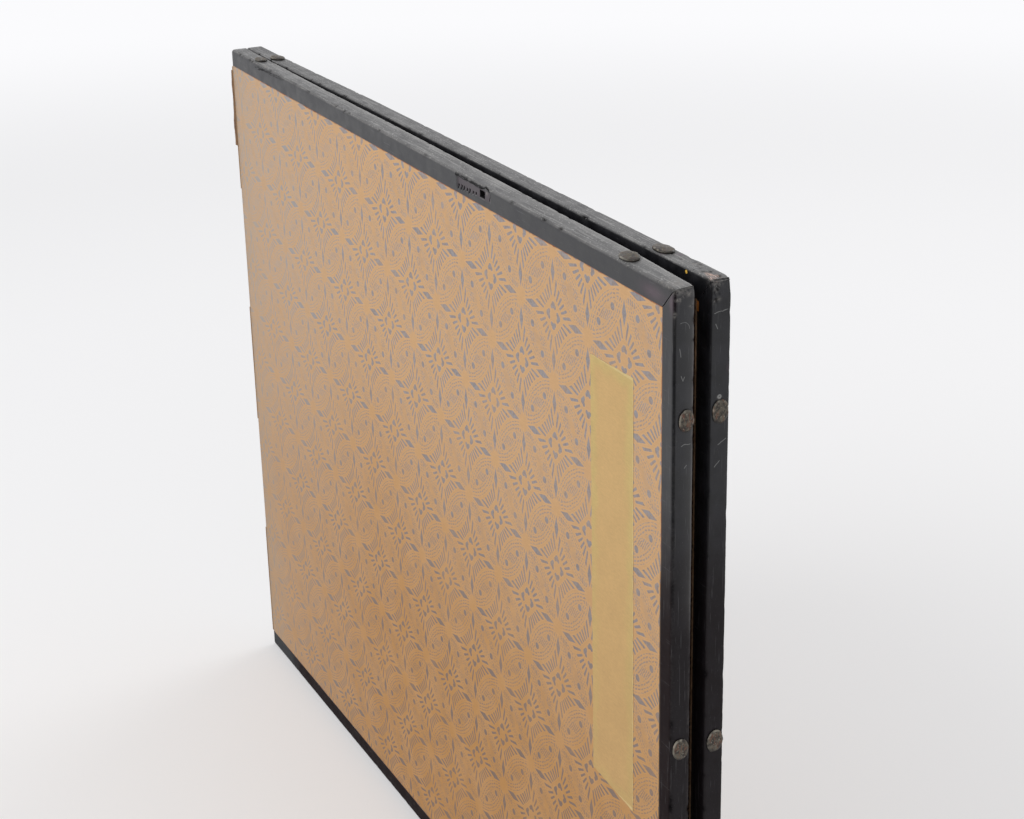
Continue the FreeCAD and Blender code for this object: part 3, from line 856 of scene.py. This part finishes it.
def brocade():
    """Woven border: small gold diamonds on brown silk, with the weave's ribs."""
    paint = Paint("brocade", roughness=0.6, specular=0.4)
    s = (paint.x + paint.z) / BROCADE_PITCH
    t = (paint.x - paint.z) / BROCADE_PITCH
    middle = most(abs(s % 1.0 - 0.5), abs(t % 1.0 - 0.5))
    diamonds = ramp(middle, 0.2, 0.22, 1.0, 0.0)
    rings = ramp(abs(middle - 0.3), 0.03, 0.045, 1.0, 0.0)
    lines = ramp(middle, 0.46, 0.475)
    figure = most(diamonds, rings, lines)
    worn = paint.patches((14.0, 14.0, 26.0), 0.4, 0.6, detail=3, seed=1)
    paint.colour = mix(worn, (50, 34, 26), (92, 62, 42))
    paint.cover(figure, (110, 84, 62))
    paint.cover(ramp(paint.x, 890.4, 891.4), (20, 16, 15))
    hem = inked(abs(paint.x - HEM_X) - HEM_HALF_WIDTH)
    seen = ramp(abs(paint.z - 645.0), 8.0, 22.0, 1.0, 0.5)
    hem = hem * seen * paint.patches((9.0, 9.0, 14.0), 0.3, 0.62, 0.45, 1.0, detail=3, seed=2)
    paint.cover(hem, (236, 194, 154))
    off_patch = abs(paint.z - TOP_PATCH_Z) - TOP_PATCH_HALF_HEIGHT
    top_patch = inked(most(off_patch, HEM_X + 0.6 - paint.x), 0.6)
    paint.cover(top_patch * 0.8, (226, 140, 62))
    ribs = most(stripes(paint.x, 0.9, 0.3), stripes(paint.z, 0.7, 0.2))
    weave = ramp(ribs, -0.1, 0.2)
    paint.colour = shade(paint.colour, weave * -0.25 + 1.1)
    paint.raise_by(figure, 0.08)
    paint.raise_by(weave, 0.08)
    return paint.finish()


materials = {
    "black_lacquer": black_lacquer(),
    "core_wood": core_wood(),
    "lining_paper": plain_paper("lining_paper", (216, 200, 168), (198, 178, 142), (150, 116, 78)),
    "hinge_paper": plain_paper("hinge_paper", (190, 158, 118), (160, 124, 86), (112, 78, 52)),
    "back_paper": back_paper(),
    "slip_paper": slip_paper(),
    "gold_leaf": gold_leaf(),
    "brocade": brocade(),
    "stud_metal": stud_metal(),
    "nail_iron": nail_iron(),
}


def dress_nodes():
    """Give every CAD node its finish."""
    for entry in frame["record"]["subparts"]:
        mesh = frame["nodes"][entry["node"]].data
        mesh.materials.clear()
        mesh.materials.append(materials[entry["material_slot"]])


# The lacquered frame.

BACK_STEP = 0.8
OUTER_STEP = 1.2
HIDDEN_STEP = 3.0
STATION_STEP = 1.7
MITRE_GAP = 0.22


def unit(vector):
    return vector / np.linalg.norm(vector)


def section(height, leaf):
    """A bar's outline, as depth from the back and rise from the inner face, and its normals."""
    corners = (
        (0.0, 0.0, INNER_ROUND, BACK_STEP),
        (0.0, height, BACK_ROUNDS[leaf], OUTER_STEP),
        (LEAF_DEPTH, height, FACE_ROUNDS[leaf], HIDDEN_STEP),
        (LEAF_DEPTH, 0.0, INNER_ROUND, HIDDEN_STEP),
    )
    spots, normals = [], []
    for i, (depth, rise, radius, step) in enumerate(corners):
        here = np.array([depth, rise])
        following = corners[(i + 1) % 4]
        next_corner = np.array(following[:2])
        before = unit(np.array(corners[i - 1][:2]) - here)
        after = unit(next_corner - here)
        centre = here + (before + after) * radius
        count = max(4, int(radius * math.pi / 2 / 0.6))
        for turn in np.linspace(0, math.pi / 2, count):
            normal = -(after * math.cos(turn) + before * math.sin(turn))
            spots.append(centre + normal * radius)
            normals.append(normal)
        start = here + after * radius
        end = next_corner - after * following[2]
        between = max(1, int(np.linalg.norm(end - start) / step))
        for share in np.arange(1, between) / between:
            spots.append(start + (end - start) * share)
            normals.append(-before)
    return np.array(spots), np.array(normals)


class Bar:
    """A rail or stile as rings of points: along, depth and rise, which wear then moves."""

    def __init__(self, leaf, stations, height, start, end, seed):
        spots, normals = section(height, leaf)
        self.leaf = leaf
        self.height = height
        self.seed = seed
        rise = spots[:, 1]
        low, high = start(rise), end(rise)
        share = ((stations - stations[0]) / (stations[-1] - stations[0]))[:, None]
        along = low + (high - low) * share
        self.spots = stacked(*np.broadcast_arrays(along, spots[:, 0], rise))
        self.normals = np.broadcast_to(normals, self.spots.shape[:2] + (2,))
        self.marks = {label: np.zeros(along.shape) for label in BAR_MARKS}
        towards_back, outwards = np.clip(-normals[:, 0], 0, 1), np.clip(normals[:, 1], 0, 1)
        self.marks["back"] += ease(towards_back, 0.7, 0.98)
        towards_face = np.clip(normals[:, 0], 0, 1)
        # Painted shade: the turn mark lies on the rounded arris, at the back on the left leaf and at the
        # face on the right leaf.
        rounded_part = towards_back if leaf == "left" else towards_face
        self.marks["turn"] += ease(rounded_part * outwards * 2, 0.45, 0.95)
        # Painted shade: the face mark darkens what faces the other leaf, inside the gap between the leaves.
        self.marks["face"] += ease(towards_face, 0.6, 0.95)
        self.sink = np.zeros(along.shape)

    def near(self, along, depth, rise, sizes):
        """1 at a spot of the bar, fading to 0 over these sizes."""
        off = (self.spots - np.array([along, depth, rise])) / np.array(sizes)
        return np.exp(-(off ** 2).sum(-1))

    def arris(self, depth, radius, spread):
        """1 on an arris of the outer face, fading over spread."""
        inset = radius * 0.3
        depth = inset if depth == 0 else depth - inset
        off = self.spots[..., 1:] - np.array([depth, self.height - inset])
        return np.exp(-(off ** 2).sum(-1) / spread ** 2)

    def weather(self, back_wear):
        """Uneven faces and rubbed, dented arrises."""
        draw = np.random.default_rng(self.seed)
        self.sink += 0.03 + 0.07 * rough(self.spots, (60, 9, 9), self.seed)
        self.sink += 0.04 * rough(self.spots, (28, 4, 4), self.seed + 5)
        along = self.spots[..., 0]
        arrises = (
            (0.0, BACK_ROUNDS[self.leaf], 0.5, back_wear),
            (LEAF_DEPTH, FACE_ROUNDS[self.leaf], 0.35, 1.0 if self.leaf == "left" else 0.1),
        )
        for depth, radius, deepest, wear in arrises:
            edge = self.arris(depth, radius, 1.5)
            patches = 0.5 + 0.5 * rough(self.spots, (24, 30, 30), self.seed + depth)
            fine = 0.5 + 0.5 * rough(self.spots, (3.2, 2, 2), self.seed + depth + 9)
            self.marks["wear"] += edge * patches * (0.3 + 0.7 * fine) * 0.45 * wear
            self.sink += edge * patches * fine * 0.2
            for _ in range(int(along.max() / 22)):
                spot = draw.uniform(along.min(), along.max())
                reach = draw.uniform(1.0, 4.5)
                bite = edge * np.exp(-((along - spot) / reach) ** 2) * draw.uniform(0.2, 1.0) ** 2
                self.sink += bite * deepest
                self.marks["chip"] += bite

    def light_ridge(self, share, begins):
        """A painted highlight along the arris beside the face, fading towards the middle of the outer side.
        """
        line = 0.7 * self.arris(LEAF_DEPTH, FACE_ROUNDS[self.leaf], 0.8)
        line += 0.22 * self.arris(LEAF_DEPTH, FACE_ROUNDS[self.leaf], 6.0)
        patches = 0.75 + 0.25 * rough(self.spots, (14, 30, 30), self.seed + 3)
        self.marks["ridge"] += line * patches * share * ease(self.spots[..., 0], begins, begins + 40)

    def dent(self, along, depth, rise, sizes, by, **marks):
        """Sink one spot, and mark it as worn, rubbed, chipped or bared to the wood."""
        near = self.near(along, depth, rise, sizes)
        self.sink += near * by
        for label, amount in marks.items():
            self.marks[label] += near * amount

    def scuff(self, count, low, high):
        """Small random scuffs and bites between two corners, each given as along, depth and rise."""
        draw = np.random.default_rng(self.seed + 50)
        for place in draw.uniform(low, high, (count, 3)):
            label = draw.choice(["wear", "chip", "wear"])
            self.dent(*place, draw.uniform(0.6, 2.0, 3), 0.12, **{label: draw.uniform(0.5, 1.0)})

    def open_mitre(self, ring, inward, width):
        """Draw a mitred end back at its face, so that the joint shows as a dark open line."""
        depth, rise = self.spots[ring, :, 1], self.spots[ring, :, 2]
        at_face = ease(depth, 6.0, 0.5) * (1 - 0.6 * rise / self.height)
        self.spots[ring, :, 0] += inward * width * at_face

    def shape(self, to_leaf):
        """The worn bar's mesh in its leaf's frame, and its marks."""
        moved = self.spots.copy()
        moved[..., 1:] -= self.normals * self.sink[..., None]
        points, faces = loft(to_leaf(moved))
        return (points, faces), {label: np.clip(spots, 0, 1).ravel() for label, spots in self.marks.items()}


CHIP_FROM, CHIP_TO = 559.0, 625.0
DETAILED = {
    "left_top_rail": ((56.0, 140.0, 0.8), (CHIP_FROM, CHIP_TO, 0.45), (872.0, PANEL_WIDTH, 0.7)),
    "right_top_rail": ((815.0, PANEL_WIDTH, 0.8),),
    "left_outer_stile": ((655.0, LEAF_HEIGHT, 0.8),),
    "right_outer_stile": ((655.0, LEAF_HEIGHT, 0.8),),
}


def stations_for(length, name, first):
    """Where rings stand along a bar: close together within its detailed stretches."""
    spots = np.arange(0, length, STATION_STEP)
    for low, high, step in DETAILED.get(name, ()):
        spots = np.concatenate([spots[(spots < low) | (spots > high)], np.arange(low, high, step)])
    closest = 0.6
    inner = np.sort(spots[(spots > closest) & (spots < length - closest)])
    return np.concatenate([[0.0, first], inner, [length - 0.3, length]])


def rounded_end(bar, reach):
    """Draw the first rings in, so that the hinge end's arrises are soft."""
    along = bar.spots[..., 0]
    bar.sink += np.clip(1 - along / reach, 0, 1) ** 2 * reach * 0.7


def rail(leaf, outer_at_top, seed):
    """A top or bottom rail, square at the hinge and mitred at the outer end."""
    name = f"{leaf}_{'top' if outer_at_top else 'bottom'}_rail"
    bar = Bar(
        leaf,
        stations_for(PANEL_WIDTH, name, 0.25),
        RAIL_HEIGHT,
        lambda rise: np.zeros_like(rise),
        lambda rise: PANEL_WIDTH + rise * STILE_WIDTH / RAIL_HEIGHT - MITRE_GAP,
        seed,
    )
    bar.weather(1.0)
    rounded_end(bar, 1.6)
    bar.open_mitre(-1, -1.0, 0.8)

    def to_leaf(spots):
        along, depth, rise = np.moveaxis(spots, -1, 0)
        z = LEAF_HEIGHT - RAIL_HEIGHT + rise if outer_at_top else RAIL_HEIGHT - rise
        return stacked(along, depth, z)

    dressed_member(bar, name, to_leaf)


def stile(leaf, seed):
    """An outer stile, mitred at both ends."""
    name = f"{leaf}_outer_stile"
    slope = RAIL_HEIGHT / STILE_WIDTH
    bar = Bar(
        leaf,
        stations_for(LEAF_HEIGHT, name, 0.3),
        STILE_WIDTH,
        lambda rise: RAIL_HEIGHT - rise * slope + MITRE_GAP,
        lambda rise: LEAF_HEIGHT - RAIL_HEIGHT + rise * slope - MITRE_GAP,
        seed,
    )
    bar.weather(0.25)
    bar.open_mitre(0, 1.0, 0.4)
    bar.open_mitre(-1, -1.0, 0.4)

    def to_leaf(spots):
        along, depth, rise = np.moveaxis(spots, -1, 0)
        return stacked(PANEL_WIDTH + rise, depth, along)

    dressed_member(bar, name, to_leaf)


def chipped_recess(bar):
    """The shallow recess in the back of the near top rail, with seven small slits and a square hole."""
    along, depth, rise = np.moveaxis(bar.spots, -1, 0)
    on_back = ease(-bar.normals[..., 0], 0.5, 0.9)
    inside = np.minimum(ease(along, 560.0, 562.0), ease(along, 623.5, 622.0))
    band = np.minimum(ease(rise, 4.6, 7.0), ease(rise, 13.8, 13.0))
    floor = on_back * inside * band
    bar.sink += floor * 0.8
    bar.marks["rub"] += floor * 0.5
    foot = LEAF_HEIGHT - RAIL_HEIGHT
    for spot, height, reach in SLITS:
        slit = np.exp(-((along - spot) / 1.0) ** 4 - ((rise + foot - height) / reach) ** 4)
        bar.sink += on_back * slit * 1.4
    hole = np.minimum(ease(along, HOLE_FROM[0], HOLE_FROM[0] + 1), ease(along, HOLE_TO[0], HOLE_TO[0] - 1))
    low, high = HOLE_FROM[1] - foot, HOLE_TO[1] - foot
    hole = np.minimum(hole, np.minimum(ease(rise, low, low + 1), ease(rise, high, high - 1)))
    bar.sink += on_back * hole * 3.2
    bar.dent(615.4, 0.5, 12.4, (1.6, 3, 2.0), -0.2, wear=0.9)


# What each member shows besides its general wear. A spot has its place, given as along, depth and rise,
# its size each way, how deep it is, its mark and how strong that is.
SPOTS = {
    "left_top_rail": (
        ((880, 0, 7), (15, 4, 5), 0.0, "rub", 1.0),
        ((84, 0.4, 13.8), (5, 1.6, 1.0), 0.3, "chip", 0.4),
        ((97, 0.4, 13.8), (6, 1.6, 1.0), 0.4, "chip", 0.4),
        ((114, 0.4, 13.8), (7, 1.6, 1.0), 0.4, "chip", 0.4),
        ((131, 0.4, 13.8), (8, 1.6, 1.0), 0.35, "chip", 0.4),
        ((149, 0.4, 13.8), (6, 1.6, 1.0), 0.3, "chip", 0.4),
        ((292, 1.5, 16.4), (1.6, 1.5, 1.2), 0.6, "chip", 1.0),
        ((99, 2.6, 17), (3.5, 1.8, 1.4), 0.1, "wear", 1.0),
        ((897, 6, 17), (8, 6, 1.5), 0.0, "wear", 0.6),
        ((909, 8, 17), (3.0, 30, 3.0), 0.9, "wear", 0.2),
    ),
    "right_top_rail": (
        ((840, 13.4, 16.5), (2.5, 1.6, 1.6), 0.0, "rub", 1.0),
        ((848, 3.6, 17), (3.0, 2.2, 1.5), 0.05, "rub", 1.0),
        ((909, 8, 17), (4.2, 30, 4.2), 1.7, "wear", 0.3),
        ((897, 10, 17), (4, 1.8, 2.5), 0.6, "wood", 1.0),
        ((904, 12, 17), (3.4, 1.8, 2.5), 0.5, "wood", 0.9),
        ((902, 7, 17), (3.0, 1.2, 2.5), 0.5, "wood", 0.9),
        ((870.6, 6.8, 17), (1.7, 1.6, 1.2), 0.3, "wear", 1.0),
        ((877.2, 7.1, 17), (1.9, 1.4, 1.2), 0.3, "wear", 0.9),
    ),
    "left_outer_stile": (
        ((688, 0, 12), (8, 3, 3), 0.0, "rub", 1.0),
        ((679.5, 1.0, 15.2), (1.7, 1.2, 1.2), 0.2, "wear", 1.0),
        ((690, 1.0, 15.2), (9, 0.9, 0.9), 0.3, "chip", 0.9),
        ((696, 4, 15), (2.5, 6, 2.5), 0.3, "wear", 0.8),
        ((698, 8, 16), (3.0, 30, 3.0), 0.9, "wear", 0.2),
    ),
    "right_outer_stile": (
        ((698, 8, 16), (4.2, 30, 4.2), 1.9, "wear", 0.3),
        ((693, 12, 16), (3, 1.6, 1.5), 0.1, "wear", 0.9),
        ((613, 8, 16), (1.5, 1.5, 1.5), 0.0, "wear", 1.0),
        ((634, 1.0, 15.2), (3, 1.2, 1.2), 0.0, "rub", 1.0),
    ),
}
# A painted highlight along an arris has its share and where it begins, and scuffs have their count and two
# corners.
ARRIS_HIGHLIGHTS = {"left_top_rail": (1.0, 60), "left_outer_stile": (0.33, 420)}
SCUFFS = {
    "left_top_rail": (14, (885, 0.5, 17), (908, 15, 17)),
    "right_top_rail": (34, (850, 0.5, 17), (908, 15, 17)),
    "left_outer_stile": (10, (684, 1, 16), (697, 15, 16)),
    "right_outer_stile": (12, (682, 8, 16), (697, 15, 16)),
}


def dressed_member(bar, name, to_leaf):
    """Give a member its own marks, and make it a piece in its leaf's frame."""
    if name == "left_top_rail":
        chipped_recess(bar)
    if name in ARRIS_HIGHLIGHTS:
        bar.light_ridge(*ARRIS_HIGHLIGHTS[name])
    for place, sizes, by, label, amount in SPOTS.get(name, ()):
        bar.dent(*place, sizes, by, **{label: amount})
    if name in SCUFFS:
        bar.scuff(*SCUFFS[name])
    shape, marks = bar.shape(to_leaf)
    piece(f"{name}_worn", shape, bar.leaf, "black_lacquer", name, marks)


# The studs.

STUD_WIDTH = 13.2
RAIL_STUD_LENGTH = 22.0
STILE_STUD_LENGTH = 18.0
STUD_SHARES = (0.97, 0.97, 0.99, 1.0, 0.97, 0.9, 0.8, 0.66, 0.5, 0.34, 0.17)
STUD_RISES = (-0.5, 0.3, 0.62, 1.0, 1.3, 1.52, 1.7, 1.84, 1.93, 1.98, 2.0)
RAIL_STUD_RISE = 1.35
# Each stud's place along its member, how far it sits off the middle, and its share of the usual size.
STUD_SEATS = {
    ("left", "rail"): ((69.0, 0.0, 0.85), (833.0, 0.0, 1.0)),
    ("right", "rail"): ((69.0, 0.0, 1.0), (833.0, 0.0, 1.0)),
    ("left", "stile"): ((601.2, 2.2, 0.93), (340.5, 0.0, 1.0), (79.0, 0.0, 1.0)),
    ("right", "stile"): ((603.0, -0.6, 1.0), (339.5, -0.7, 1.03), (79.0, 0.0, 1.0)),
}


def stud_shape(length, seed, shaded):
    """A beaten oval stud, as along, across and out, its rim given a patchy painted highlight on one side
    and painted shade on the other.
    """
    turns = np.linspace(0, 2 * math.pi, 56, endpoint=False)
    ring = stacked(np.cos(turns), np.sin(turns), np.full_like(turns, seed * 3.7))
    outline = 1 + 0.06 * rough(ring, (0.7, 0.7, 1)) + 0.035 * rough(ring, (0.25, 0.25, 1), 3)
    shares, rises = (np.array(values)[:, None] for values in (STUD_SHARES, STUD_RISES))
    radius = shares * outline
    along = radius * np.cos(turns) * length / 2
    across = radius * np.sin(turns) * STUD_WIDTH / 2
    out = rises + np.zeros_like(along)
    spots = stacked(along, across, out)
    beaten = rough(spots, (5, 5, 50), seed) * 0.22 + rough(spots, (2.2, 2.2, 50), seed + 2) * 0.1
    spots[1:, :, 2] += beaten[1:] * (1 - shares[1:] ** 6 * 0.5) - 0.12
    wear = np.zeros_like(along)
    # The wear mark on the rim is a patchy painted highlight, kept off the side with painted shade.
    wear[3:6] = 0.35 + 0.65 * rough(spots[3:6], (2, 2, 50), seed + 4)
    dark_side = np.clip(np.cos(turns) * shaded, 0, 1)
    wear[3:6] *= 1 - dark_side
    rub = np.zeros_like(along)
    rub[:3] = np.array([1.0, 1.0, 0.7])[:, None]
    # Painted shade on the rim's dark side, carried by the rub mark.
    rub[3:6] = dark_side * 0.75
    points, faces = loft(spots)
    return points, faces, np.stack([wear.ravel(), rub.ravel()])


def studs(leaf, kind, length, to_leaf):
    """All the studs of one member as one piece."""
    points, faces, marks = [], [], []
    for i, seat in enumerate(STUD_SEATS[leaf, kind]):
        number = i + len(kind) + 3 * LEAVES.index(leaf)
        spots, ring_faces, rims = stud_shape(length * seat[2], number, 1 if kind == "rail" else -1)
        base = sum(len(p) for p in points)
        points.append(to_leaf(spots, seat))
        faces += [[corner + base for corner in face] for face in ring_faces]
        marks.append(rims)
    wear, rub = np.clip(np.concatenate(marks, 1), 0, 1)
    name = f"{leaf}_{kind}_studs"
    shape = np.concatenate(points), faces
    piece(f"{name}_beaten", shape, leaf, "stud_metal", name, {"wear": wear, "rub": rub})


def all_studs(leaf):
    def on_rail(spots, seat):
        along, off_middle, size = seat
        across = LEAF_DEPTH / 2 + off_middle + spots[:, 1] * size
        return stacked(along + spots[:, 0], across, LEAF_HEIGHT + spots[:, 2] * RAIL_STUD_RISE)

    def on_stile(spots, seat):
        height, off_middle, size = seat
        across = LEAF_DEPTH / 2 + off_middle + spots[:, 1] * size
        return stacked(LEAF_WIDTH + spots[:, 2], across, height + spots[:, 0])

    studs(leaf, "rail", RAIL_STUD_LENGTH, on_rail)
    studs(leaf, "stile", STILE_STUD_LENGTH, on_stile)


# Papers.

def back_sheet(leaf):
    """The printed paper on a leaf's back, lying a little unevenly on its lining."""
    across = np.linspace(0, PANEL_WIDTH, 150)
    up = np.linspace(RAIL_HEIGHT, LEAF_HEIGHT - RAIL_HEIGHT, 112)
    x, z = np.meshgrid(across, up)
    flat = stacked(x, np.zeros_like(x), z)
    relief = 0.05 * rough(flat, (70, 1, 90), LEAVES.index(leaf)) + 0.03 * rough(flat, (18, 1, 26), 4)
    front = flat + stacked(x * 0, PAPER_STEP + relief, z * 0)
    back = flat + np.array([0, PAPER_STEP + PAPER_THICKNESS, 0])
    piece(f"{leaf}_back_sheet", slab(front, back), leaf, "back_paper", f"{leaf}_back_paper")


def pasted_slip():
    """The blank slip: soft uneven edges, lifting very slightly along them."""
    across = np.linspace(0, 1, 44)
    up = np.linspace(0, 1, 180)
    u, v = np.meshgrid(across, up)
    x = SLIP_X + SLIP_WIDTH * u
    foot = SLIP_FOOT + SLIP_FOOT_SLOPE * (1 - u)
    head = SLIP_HEAD + SLIP_HEAD_SLOPE * u
    z = foot + (head - foot) * v
    spots = stacked(x, x * 0, z)
    edge_x = np.where(u == 0, -1, np.where(u == 1, 1, 0))
    edge_z = np.where(v == 0, -1, np.where(v == 1, 1, 0))
    x = x + edge_x * 0.35 * rough(spots, (3, 1, 3), 2)
    z = z + edge_z * 0.35 * rough(spots, (3, 1, 3), 6)
    inward = np.minimum(np.minimum(u, 1 - u) * SLIP_WIDTH, np.minimum(v, 1 - v) * SLIP_LENGTH)
    lift = np.exp(-inward / 2.5) * (0.5 + 0.5 * rough(spots, (20, 1, 22), 3)) * 0.12
    lift += 0.03 * rough(spots, (14, 1, 18), 8)
    seat = PAPER_STEP - 0.15
    front = stacked(x, seat - lift, z)
    back = stacked(x, seat - lift + 0.16, z)
    piece("left_back_slip_pasted", slab(front, back), "left", "slip_paper", "left_back_slip")


TORN_OUTLINE = (
    (595.0, -5.6), (598.0, -6.0), (604.0, -5.4), (615.0, -6.6), (629.0, -5.5), (648.0, -4.0),
    (659.0, -5.4), (668.0, -4.4), (674.0, -3.8), (676.0, -3.2),
)
TORN_INNER = -0.35
TORN_THICKNESS = 0.15


def torn_strip():
    """The margin of the top hinge paper, torn loose and frayed at its foot."""
    known_heights, known_reach = zip(*TORN_OUTLINE)
    heights = np.linspace(known_heights[0], known_heights[-1], 82)
    reach = np.interp(heights, known_heights, known_reach)
    fray = ease(heights, 632.0, 618.0) * 0.5
    spots = stacked(reach, reach * 0, heights)
    reach = reach + rough(spots, (1, 1, 1.6), 4) * (0.25 + 0.6 * fray)
    shares = np.linspace(0, 1, 9)
    x = TORN_INNER + (reach - TORN_INNER)[:, None] * shares
    z = heights[:, None] + x * 0
    grid = stacked(x, x * 0, z)
    curl = shares ** 2 * (0.25 + 0.5 * fray[:, None]) + 0.08 * rough(grid, (3, 1, 6), 2) * shares
    y = -0.25 - curl
    front = stacked(x, y, z)
    back = stacked(x, y + TORN_THICKNESS, z)
    wear = np.concatenate([((1 - shares) ** 2 + z * 0).ravel()] * 2)
    piece("torn_hinge_strip", slab(front, back), "left", "hinge_paper", "torn_hinge_paper",
          {"wear": wear}, "hinge_papers_left_edge", torn_paper())


# Camera, floor and light.

LENS = 72.08
CAMERA_AT = (1.5780, -0.6964, 1.1365)
YAW, PITCH, ROLL = (math.radians(a) for a in (-63.89521, 21.79789, 1.31952))


def make_camera():
    """The photograph's camera, as fitted to the screen's corners and edges."""
    forward = Vector((
        math.sin(YAW) * math.cos(PITCH), math.cos(YAW) * math.cos(PITCH), -math.sin(PITCH)
    ))
    level = Vector((math.cos(YAW), -math.sin(YAW), 0))
    down = forward.cross(level)
    right = level * math.cos(ROLL) + down * math.sin(ROLL)
    down = down * math.cos(ROLL) - level * math.sin(ROLL)
    data = bpy.data.cameras.new("camera")
    data.lens = LENS
    data.sensor_width = 36.0
    data.sensor_fit = "HORIZONTAL"
    camera = linked("camera", data)
    turn = Matrix((right, -down, -forward)).transposed()
    camera.matrix_world = Matrix.Translation(CAMERA_AT) @ turn.to_4x4()
    bpy.context.scene.camera = camera


FLOOR_COLOUR = (244, 243, 242)
FLOOR_COLOUR_TOO = (240, 239, 238)
BACKDROP_COLOUR = (252, 252, 254)
FLOOR_REACH = 8.0


def seen_directly(nodes, links):
    """A socket that is 1 for a ray from the camera, a mirror or glass, and 0 for light on the object."""
    rays = nodes.new("ShaderNodeLightPath")
    last = rays.outputs["Is Camera Ray"]
    for label in ("Is Glossy Ray", "Is Transmission Ray"):
        either = nodes.new("ShaderNodeMath")
        either.operation = "MAXIMUM"
        links.new(last, either.inputs[0])
        links.new(rays.outputs[label], either.inputs[1])
        last = either.outputs[0]
    return last


def make_floor():
    """A plain pale floor, wide enough for any view, that keeps the object's shadow."""
    paint = Paint("floor", roughness=0.85, specular=0.2)
    tone = paint.sway(300.0, 0.02)
    paint.colour = mix(tone + 0.5, FLOOR_COLOUR, FLOOR_COLOUR_TOO)
    material = paint.finish()
    lit = seen_directly(paint.nodes, paint.links)
    glow = paint.nodes.new("ShaderNodeEmission")
    glow.inputs["Color"].default_value = linear(BACKDROP_COLOUR)
    join = paint.nodes.new("ShaderNodeMixShader")
    away = span(paint.x + HINGE_X, paint.y)
    glow_share = ramp(away, 400.0, 1800.0, 0.3, 0.56) + ramp(away, 2400.0, 4200.0, 0.0, 0.42)
    paint.links.new((glow_share * Field(paint, lit)).socket, join.inputs[0])
    paint.links.new(paint.shader.outputs[0], join.inputs[1])
    paint.links.new(glow.outputs[0], join.inputs[2])
    paint.links.new(join.outputs[0], paint.nodes["Material Output"].inputs["Surface"])
    sides = ((-1, -1), (1, -1), (1, 1), (-1, 1))
    corners = [(x * FLOOR_REACH, y * FLOOR_REACH, 0) for x, y in sides]
    mesh = bpy.data.meshes.new("floor")
    mesh.from_pydata(corners, [], [(0, 1, 2, 3)])
    mesh.materials.append(material)
    floor = linked("floor", mesh)


def make_world():
    """Soft light from all round, with a pale backdrop where a ray sees it."""
    world = bpy.data.worlds.new("studio")
    world.use_nodes = True
    nodes, links = world.node_tree.nodes, world.node_tree.links
    light = nodes["Background"]
    light.inputs["Color"].default_value = (0.97, 0.98, 1.0, 1.0)
    light.inputs["Strength"].default_value = 0.62
    backdrop = nodes.new("ShaderNodeBackground")
    backdrop.inputs["Color"].default_value = linear(BACKDROP_COLOUR)
    join = nodes.new("ShaderNodeMixShader")
    links.new(seen_directly(nodes, links), join.inputs[0])
    links.new(light.outputs[0], join.inputs[1])
    links.new(backdrop.outputs[0], join.inputs[2])
    links.new(join.outputs[0], nodes["World Output"].inputs["Surface"])
    bpy.context.scene.world = world


def soft_lamp(name, place, target, size, power):
    data = bpy.data.lights.new(name, "AREA")
    data.shape = "DISK"
    data.size = size
    data.energy = power
    lamp = linked(name, data)
    lamp.location = place
    aim = Vector(target) - Vector(place)
    lamp.rotation_euler = aim.to_track_quat("-Z", "Y").to_euler()


make_camera()
make_world()
make_floor()
soft_lamp("key_lamp", (-0.5, -2.4, 2.3), (0.1, 0.0, 0.35), 1.8, 36.0)
soft_lamp("fill_lamp", (-1.0, 2.3, 2.4), (0.0, 0.0, 0.35), 1.8, 20.0)
dress_nodes()
for number, leaf in enumerate(LEAVES):
    rail(leaf, True, 11 + number)
    rail(leaf, False, 21 + number)
    stile(leaf, 31 + number)
    all_studs(leaf)
    back_sheet(leaf)
pasted_slip()
torn_strip()

bpy.context.scene.view_settings.view_transform = "Standard"
